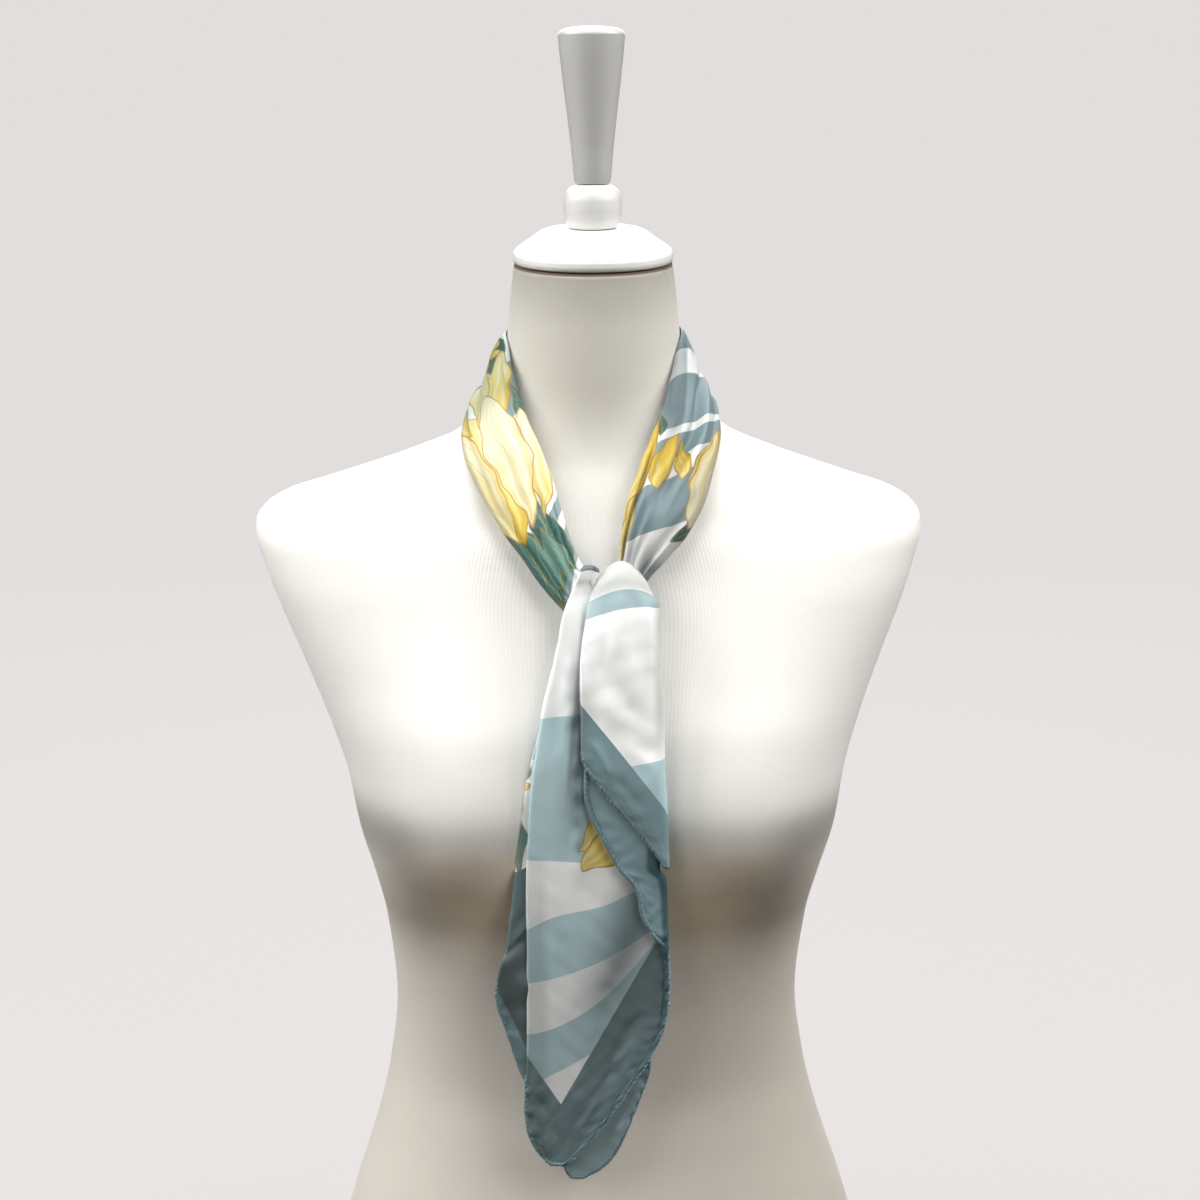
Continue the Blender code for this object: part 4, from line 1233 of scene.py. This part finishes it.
knot_flat = spread(np.linspace(0, KNOT_ROUND, KNOT_SIDES + 1), knot_level[:, 0])


def draw_knot(paint):
    """Bands that run into the pleats."""
    return paint.mix(bars(paint, paint.drawn_v, KNOT_BARS), GROUND_WHITE, BAND_BLUE)


knot_paint = silk_paints("knot_core", draw_knot, ["face"])[0]
knot_core = ringed("knot_core_silk", [knot_rings], [knot_flat], knot_paint)
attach(knot_core, "root")
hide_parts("knot_core")


# --- The rolled hems -----------------------------------------------------------------------------------
# Along each cut edge the silk is rolled into a thin cord, and one thread is whipped round it: each
# stitch slants over the roll and bites into the cloth beside it.
HEM_RADIUS = 1.2
HEM_SIDES = 12
HEM_STEP = 0.7
STITCH_APART = 3.0
STITCH_RADIUS = 0.27
STITCH_SIDES = 6
STITCH_SLANT = 0.95
STITCH_PROUD = 0.06  # of the roll
STITCH_BENDS = (84, 66, 50, 38, 28)  # where its points lie round the roll, in degrees
THREAD_PALE = (0.50, 0.60, 0.63)


def edge_path(middle, side):
    """The line of a tail's rolled edge down one side: the turn's middle, or a lapel's free edge."""
    turn = slice(UNDER_STEPS, UNDER_STEPS + TURN_STEPS + 1)
    if side > 0:
        turn = slice(-1 - UNDER_STEPS - TURN_STEPS, -UNDER_STEPS)
    centre = middle[:, turn].mean(axis=1)
    edge = middle[:, 0 if side < 0 else -1]
    gap = np.linalg.norm(edge - centre, axis=-1, keepdims=True)
    share = ease((gap - 2.6) / 3)
    return centre + (edge - centre) * share


def line_length(path):
    return summed(np.linalg.norm(np.diff(path, axis=0), axis=-1))


def respaced(path, step):
    """The same line with even steps."""
    length = line_length(path)
    places = np.linspace(0, length[-1], int(length[-1] / step) + 1)
    return np.stack([np.interp(places, length, path[:, i]) for i in range(3)], axis=-1), places


def smoothed(path, times):
    """The line with its corners eased."""
    for _ in range(times):
        path = np.concatenate([path[:1], (path[:-2] + 2 * path[1:-1] + path[2:]) / 4, path[-1:]])
    return path


def hem_frame(path):
    """The way along a hem's line, towards the cloth beside it, and towards the front."""
    along = unit(np.gradient(path, axis=0))
    front = unit(along * along[:, 1:2] - np.array([0, 1, 0]))
    return along, np.cross(along, front), front


def cord_rings(path, radius, across, front, sides):
    """A cord along a line, with rounded ends: its rings of points, and their flat places."""
    turn = round_angles(sides)[:, None]
    end = np.minimum(np.arange(len(path)), np.arange(len(path))[::-1])
    size = (radius * np.sqrt(np.clip(end / 2.0, 0.05, 1)))[:, None, None]
    rings = across[:, None] * size * np.cos(turn) + front[:, None] * size * np.sin(turn)
    flat = spread(np.linspace(0, 2 * math.pi * HEM_RADIUS, sides + 1), line_length(path))
    return path[:, None] + rings, flat


def hem(name, path):
    """One stretch of rolled hem and its stitches, with the cloth on the line's left."""
    path, places = respaced(smoothed(path, 3), HEM_STEP)
    along, across, front = hem_frame(path)
    uneven = 0.06 * np.sin(places * 2 * math.pi / STITCH_APART)
    uneven = uneven + 0.10 * waver(places, 0 * places, 6.0, 31)
    rings, flat = cord_rings(path, HEM_RADIUS * (1 + uneven), across, front, HEM_SIDES)
    roll = ringed(f"hem_{name}", [rings], [flat], hem_paint)
    stitches = []
    bend = np.radians(STITCH_BENDS)[:, None]
    for k, place in enumerate(np.arange(1.5, places[-1] - 1, STITCH_APART)):
        i = int(place / HEM_STEP)
        slant = np.linspace(-1, 1, len(bend) + 1) * STITCH_SLANT * (1 + 0.2 * math.sin(k * 2.4))
        radius = HEM_RADIUS * (1 + uneven[i]) + STITCH_PROUD
        over = across[i] * radius * np.cos(bend) + front[i] * radius * np.sin(bend)
        bite = across[i] * (HEM_RADIUS + 0.5) + front[i] * 0.2
        line = path[i] + np.vstack([over, bite]) + along[i] * slant[:, None]
        spine = np.gradient(line, axis=0)
        side = unit(np.cross(spine, along[i]))
        size = np.full(len(line), STITCH_RADIUS)
        stitches.append(cord_rings(line, size, side, unit(np.cross(spine, side)), STITCH_SIDES))
    sewn = ringed(f"stitches_{name}", *zip(*stitches), thread_paint)
    for piece in (roll, sewn):
        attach(piece, "root")
    return [roll, sewn]


hem_paint = Paint("rolled_hem")
round_hem, along_hem = hem_paint.flat()
twist = hem_paint.sine((along_hem + 0.5 * round_hem) * (2 * math.pi / STITCH_APART))
hem_grain = hem_paint.noise(0.7, 3.0, 0.6)
hem_tone = hem_paint.mix(0.05 * twist + 0.30 * hem_grain, BORDER_BLUE, BAND_BLUE)
hem_paint.surface(
    Base_Color=hem_tone,
    Roughness=0.38 + 0.15 * hem_grain,
    Sheen_Weight=0.2,
    Specular_IOR_Level=0.5,
)
hem_paint.bump(0.25 * twist + hem_grain, 0.00010)

thread_paint = Paint("hem_thread")
round_thread, along_thread = thread_paint.flat()
ply = thread_paint.sine((along_thread * 2.2 + round_thread) * (2 * math.pi / 0.7))
thread_tone = thread_paint.mix(0.3 - 0.3 * ply, THREAD_PALE, BORDER_BLUE)
thread_paint.surface(Base_Color=thread_tone, Roughness=0.40 + 0.1 * ply, Sheen_Weight=0.2)
thread_paint.bump(ply, 0.00004)


def side_below(middle, flat, side, high):
    """A tail's rolled edge below one height, from the top down."""
    return edge_path(middle, side)[flat[:, 0, 1] <= high]


def foot(middle):
    """The line along a tail's cut end, from left to right."""
    row = middle[-1, UNDER_STEPS + TURN_STEPS : -UNDER_STEPS - TURN_STEPS]
    return row[2:-2] + np.array([0, 0.5, 0])


def corner_line(middle, flat, left_from, right_from):
    """The hem's line down the left side from one height, along the foot and up the right side."""
    left = side_below(middle, flat, -1, left_from)
    return np.concatenate([left, foot(middle), side_below(middle, flat, 1, right_from)[::-1]])


over_hem = hem("over_tail", side_below(over_middle, over_flat, -1, 414))
main_hem = hem("main_tail", corner_line(main_middle, main_flat, 226, 412))
under_hem = hem("under_tail", corner_line(under_middle, under_flat, 276, 244))
for piece, flat, pieces in (
    (over_tail, over_flat, [*over_hem, knot_core]),
    (main_tail, main_flat, main_hem),
    (under_tail, under_flat, under_hem),
):
    cut, area = flat_size(flat)


# --- The neck band -------------------------------------------------------------------------------------
# The middle of the square, folded over and over on the slant into one soft flat roll. It goes from the
# knot up one side of the neck, round the back and down the other side.
BAND_COLUMNS = ("x", "y", "z", "out_x", "out_y", "out_z", "half_width", "half_thickness")
BAND_ROWS = (
    (-7, -94.5, 490, -0.05, -0.96, 0.25, 11.5, 5),
    (-16, -91, 500, -0.08, -0.95, 0.3, 12, 5.8),
    (-25.5, -84, 515, -0.12, -0.93, 0.33, 14, 7),
    (-36.5, -74.5, 536, -0.2, -0.9, 0.38, 18, 8),
    (-47.8, -61.5, 559, -0.33, -0.85, 0.42, 21, 8),
    (-56.8, -45, 579, -0.55, -0.76, 0.4, 21.5, 7.5),
    (-59.5, -24, 597, -0.82, -0.45, 0.38, 22, 6),
    (-57, 1, 608, -0.96, -0.05, 0.3, 22.5, 4.2),
    (-48, 33, 610, -0.83, 0.52, 0.25, 22, 4.2),
    (-29, 55.5, 611, -0.42, 0.9, 0.2, 22, 4.5),
    (0, 63.5, 610, 0, 1, 0.2, 22, 4.5),
    (29, 55.5, 611, 0.42, 0.9, 0.2, 22, 4.5),
    (48, 33, 611, 0.83, 0.52, 0.25, 22, 4.2),
    (56, 3, 610, 0.96, -0.05, 0.3, 21.5, 4),
    (57.5, -22, 599, 0.82, -0.45, 0.38, 20.5, 5.6),
    (55.5, -43, 584, 0.6, -0.72, 0.4, 19.5, 7),
    (49.5, -58, 567, 0.36, -0.84, 0.42, 20, 7.5),
    (42.5, -68.5, 549, 0.22, -0.9, 0.38, 20.5, 8),
    (35, -77, 533, 0.15, -0.92, 0.35, 19, 8),
    (27.5, -83, 518, 0.12, -0.94, 0.32, 14.5, 6),
    (22, -84.5, 507, 0.1, -0.95, 0.3, 10.5, 3.6),
    (18, -85, 499, 0.08, -0.96, 0.25, 9, 3),
    (13.5, -89.5, 493, 0.06, -0.97, 0.2, 7, 2.8),
    (8.5, -93, 489, 0.04, -0.98, 0.15, 5, 2.4),
)
CREASE_LIP = 0.3  # the height of the ridge beside a crease, as a share of its depth
BAND_SQUARENESS = 2.3
BAND_MOUTH = 62  # half the open side of its section, in degrees, which faces the form
BAND_STEPS = 110  # points across
BAND_STATIONS = 380  # along
BAND_CLEARANCE = 1.0
# Long creases: the rows where each starts and ends, its place across at both ends in degrees (0 is the
# upper edge, 90 the middle of the outer face), its depth and its half-width in degrees.
CREASE_COLUMNS = ("start", "end", "from_angle", "to_angle", "depth", "spread")
BAND_CREASES = (
    (12.8, 18.4, 94, 84, 5.2, 6),
    (16.4, 22.4, 128, 100, 2.4, 7),
    (15.5, 21, 34, 46, 4.2, 5.5),
    (17.2, 22.4, 66, 68, 1.5, 5),
    (18, 22.6, 84, 82, 1.5, 5),
    (18.6, 22.6, 116, 98, 1.3, 5),
    (14.2, 17, 128, 120, 1.6, 7),
    (15, 18.2, 62, 54, 1.3, 6),
    (0, 4.8, 70, 58, 2.2, 7),
    (0, 3.4, 122, 128, 2, 7),
    (0, 2.8, 96, 92, 1.4, 5),
    (0, 3.8, 48, 40, 1.6, 6),
    (0, 2.2, 108, 112, 1, 4),
    (3.2, 7.2, 60, 36, 1.6, 7),
    (4.2, 8.8, 112, 94, 2.4, 7),
    (5.4, 9.8, 72, 66, -1, 9),
    (1.8, 5.6, 104, 84, 1.4, 8),
    (2.4, 6.2, 140, 126, 1.6, 7),
    (7.4, 12.4, 88, 92, 1.6, 7),
    (8, 12, 130, 120, 1.4, 8),
    (8.6, 13.4, 54, 60, 1.2, 8),
    (12.6, 15.6, 124, 132, 1.4, 8),
)


def band_frame(place):
    """The band's middle line, the way up across it and out from it, and its half sizes."""
    rows = np.arange(len(BAND_ROWS), dtype=float)

    def read(names, at):
        return np.stack(
            [through(rows, column(BAND_COLUMNS, BAND_ROWS, name), at) for name in names],
            axis=-1,
        )

    line = BAND_COLUMNS[:3]
    along = unit(read(line, place + 0.05) - read(line, place - 0.05))
    out = read(BAND_COLUMNS[3:6], place)
    out = unit(out - along * np.sum(out * along, axis=-1, keepdims=True))
    sizes = read(BAND_COLUMNS[6:], place)
    return read(line, place), np.cross(along, out), out, sizes[:, :1], sizes[:, 1:]


def band_surface(place):
    """The band's cloth: a soft flat tube, open towards the form, with its creases."""
    middle, up, out, half_width, half_thickness = band_frame(place)
    angle = np.radians(np.linspace(BAND_MOUTH - 90, 270 - BAND_MOUTH, BAND_STEPS))
    c = np.cos(angle)
    s = np.sin(angle)
    wide = half_width * np.sign(c) * np.abs(c) ** (2 / BAND_SQUARENESS)
    rise = half_thickness * np.sign(s) * np.abs(s) ** (2 / BAND_SQUARENESS)
    for row in BAND_CREASES:
        crease = dict(zip(CREASE_COLUMNS, row))
        share = (place - crease["start"]) / (crease["end"] - crease["start"])
        strength = ease(3 * share) * ease(3 * (1 - share)) * crease["depth"]
        turn = crease["to_angle"] - crease["from_angle"]
        centre = crease["from_angle"] + turn * np.clip(share, 0, 1)
        centre = centre + 3 * np.sin(place * 2.1 + crease["from_angle"])
        off = (np.degrees(angle)[None, :] - centre[:, None]) / crease["spread"]
        lip = CREASE_LIP * np.exp(-((off - 1.9) ** 2))
        rise = rise - strength[:, None] * (np.exp(-(off**2) / 2) - lip)
    return middle[:, None] + up[:, None] * wide[..., None] + out[:, None] * rise[..., None]


def run_length(points, axis):
    """The distance along a grid's lines from their starts."""
    steps = np.linalg.norm(np.diff(points, axis=axis), axis=-1)
    return np.pad(np.cumsum(steps, axis=axis), [(1 - axis, 0), (axis, 0)])


band_place = np.linspace(0, len(BAND_ROWS) - 1, BAND_STATIONS)
band_middle = band_surface(band_place)
band_line = run_length(band_middle.mean(axis=1)[:, None], 0)
band_across = run_length(band_middle, 1)
band_across -= band_across[:, -1:] / 2
band_flat = np.stack(np.broadcast_arrays(band_line, band_across), axis=-1)
band_move = 0.22 * waver(band_flat[..., 0], band_flat[..., 1] * 2.2, 26, 21)
band_middle = band_middle + face_normal(band_middle) * band_move[..., None]
band_middle = clear_of_form(band_middle, BAND_CLEARANCE)

# Painted shade: the band's blue, darker than the tails', and the tones below that darken the band.
PAINTED_SHADE_NECK_BLUE = (0.245, 0.35, 0.385)
FOLD_SHADE = (0.40, 0.44, 0.46)
NAPE_SHADE = (0.50, 0.56, 0.56)
OUTER_SHADE = (0.53, 0.52, 0.54)
KNOT_SHADE = (0.30, 0.33, 0.36)
BAND_BARS = (
    (-20, -6), (8, 26), (33, 41), (96, 128), (160, 176), (196, 226), (248, 262), (286, 312),
    (330, 361), (382, 421), (427.5, 444), (460, 496),
)
LEFT_LEAVES = (
    (2, 9, 62, 22, 2, 1, 0.1),
    (138, 20, 46, 15, 10, 2, 0.05),
    (140, -14, 50, 16, 4, -3, 0),
    (10, 18, 52, 15, -12, 3, 0.4),
    (4, 11, 56, 14, -3, 1, 0.3),
    (8, 4, 50, 15, -6, -3, 0.6),
    (16, -12, 52, 17, 8, 3, 0.05),
    (14, -4, 34, 11, 4, -2, 0.75),
    (38, 24, 40, 13, -2, -3, 0.15),
    (186, -14, 50, 15, 158, 3, 0.1),
    (184, 4, 44, 16, 176, -3, 0),
    (92, 30, 44, 13, 6, 2, 0.3),
    (86, -24, 52, 13, 2, -2, 0.1),
)
LEFT_PETALS = (
    (42, 8, 86, 48, 3, 0, 0.8),
    (114, 12, 52, 19, 20, 3, 0.5),
    (112, -6, 50, 17, -16, -2, 0.6),
    (112, 4, 58, 21, 0, -3, 0.2),
    (46, 20, 76, 24, 13, 4, 0.45),
    (50, -8, 70, 19, -12, -4, 0.4),
    (44, 11, 88, 32, 10, 4, 0.2),
    (48, 1, 88, 27, -3, -4, 0.05),
)
LEFT_FLOWERS = ((166, -10, 11, 5, 0.3, 1.0),)
BACK_LEAVES = ((205, 16, 44, 15, -30, 3, 0.3), (300, -14, 40, 14, 24, 3, 0.3))
BACK_FLOWERS = ((236, -6, 42, 6, 0.4, 0.1),)
RIGHT_LEAVES = ((474, 22, 24, 9, -16, 2, 0.05), (428, -27, 16, 8, 26, 1, 0.1))
RIGHT_PETALS = (
    (405, 29, 76, 24, -6, -3, 0.45),
    (420, 17, 64, 20, 2, 3, 0.25),
    (441, -9, 26, 12, 40, 2, 0.95),
    (438, -12, 34, 14, 8, -2, 1.1),
    (430, -26, 70, 15, 2, 1, 0.95),
    (476, -19, 44, 12, 5, 0, 0.6),
)
# The paint of each band stretch: where it ends along the band, and how far painted shade darkens it.
STRETCHES = (
    ("band_left", 192, 0.88, LEFT_LEAVES, LEFT_PETALS, LEFT_FLOWERS),
    ("band_back", 322, 0.78, BACK_LEAVES, (), BACK_FLOWERS),
    ("band_right", 600, 0.68, RIGHT_LEAVES, RIGHT_PETALS, ()),
)


def draw_band(paint, leaves, petals, flowers):
    """Curved bands across the cloth, with a spray of blossoms and leaves over them."""
    u, v = paint.u, paint.v
    slant = paint.drawn_u * 0.25 + u * 0.75 + 0.9 * v
    colour = paint.mix(bars(paint, slant, BAND_BARS), GROUND_WHITE, PAINTED_SHADE_NECK_BLUE)
    for row in leaves:
        colour = leaf(paint, colour, row)
    for row in flowers:
        colour = flower(paint, colour, row)
    for row in petals:
        colour = petal(paint, colour, row)
    # Painted shade in the deep fold, round the neck towards the nape, along the outer edge and by the
    # knot.
    fold = 0.0026 * (u - 385) * (u - 385) - 16.5 - v
    fold = paint.between(fold, 0, 13, 1.2, 9) * paint.between(u, 372, 436, 12, 14)
    colour = paint.tinted(fold, colour, FOLD_SHADE)
    colour = paint.tinted(paint.between(u, 122, 230, 14, 20), colour, NAPE_SHADE)
    colour = paint.tinted(paint.within(v - 19, 9), colour, OUTER_SHADE)
    pulled = paint.within(u - 509, 5) * paint.within(v - 6, 6)
    return paint.tinted(0.8 * pulled, colour, KNOT_SHADE)


band_paints = []
for name, _, painted_shade, leaves, petals, flowers in STRETCHES:
    draw = partial(draw_band, leaves=leaves, petals=petals, flowers=flowers)
    band_paints += silk_paints(name, draw, ["face"], painted_shade)
stretch_ends = [row[1] for row in STRETCHES]
neck_band = silk(
    "scarf_neck_band_silk",
    band_middle,
    band_flat,
    band_paints,
    np.searchsorted(stretch_ends, band_line[:-1, 0]),
)
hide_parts("scarf_band_left", "scarf_band_back", "scarf_band_right")
cut, area = flat_size(band_flat)
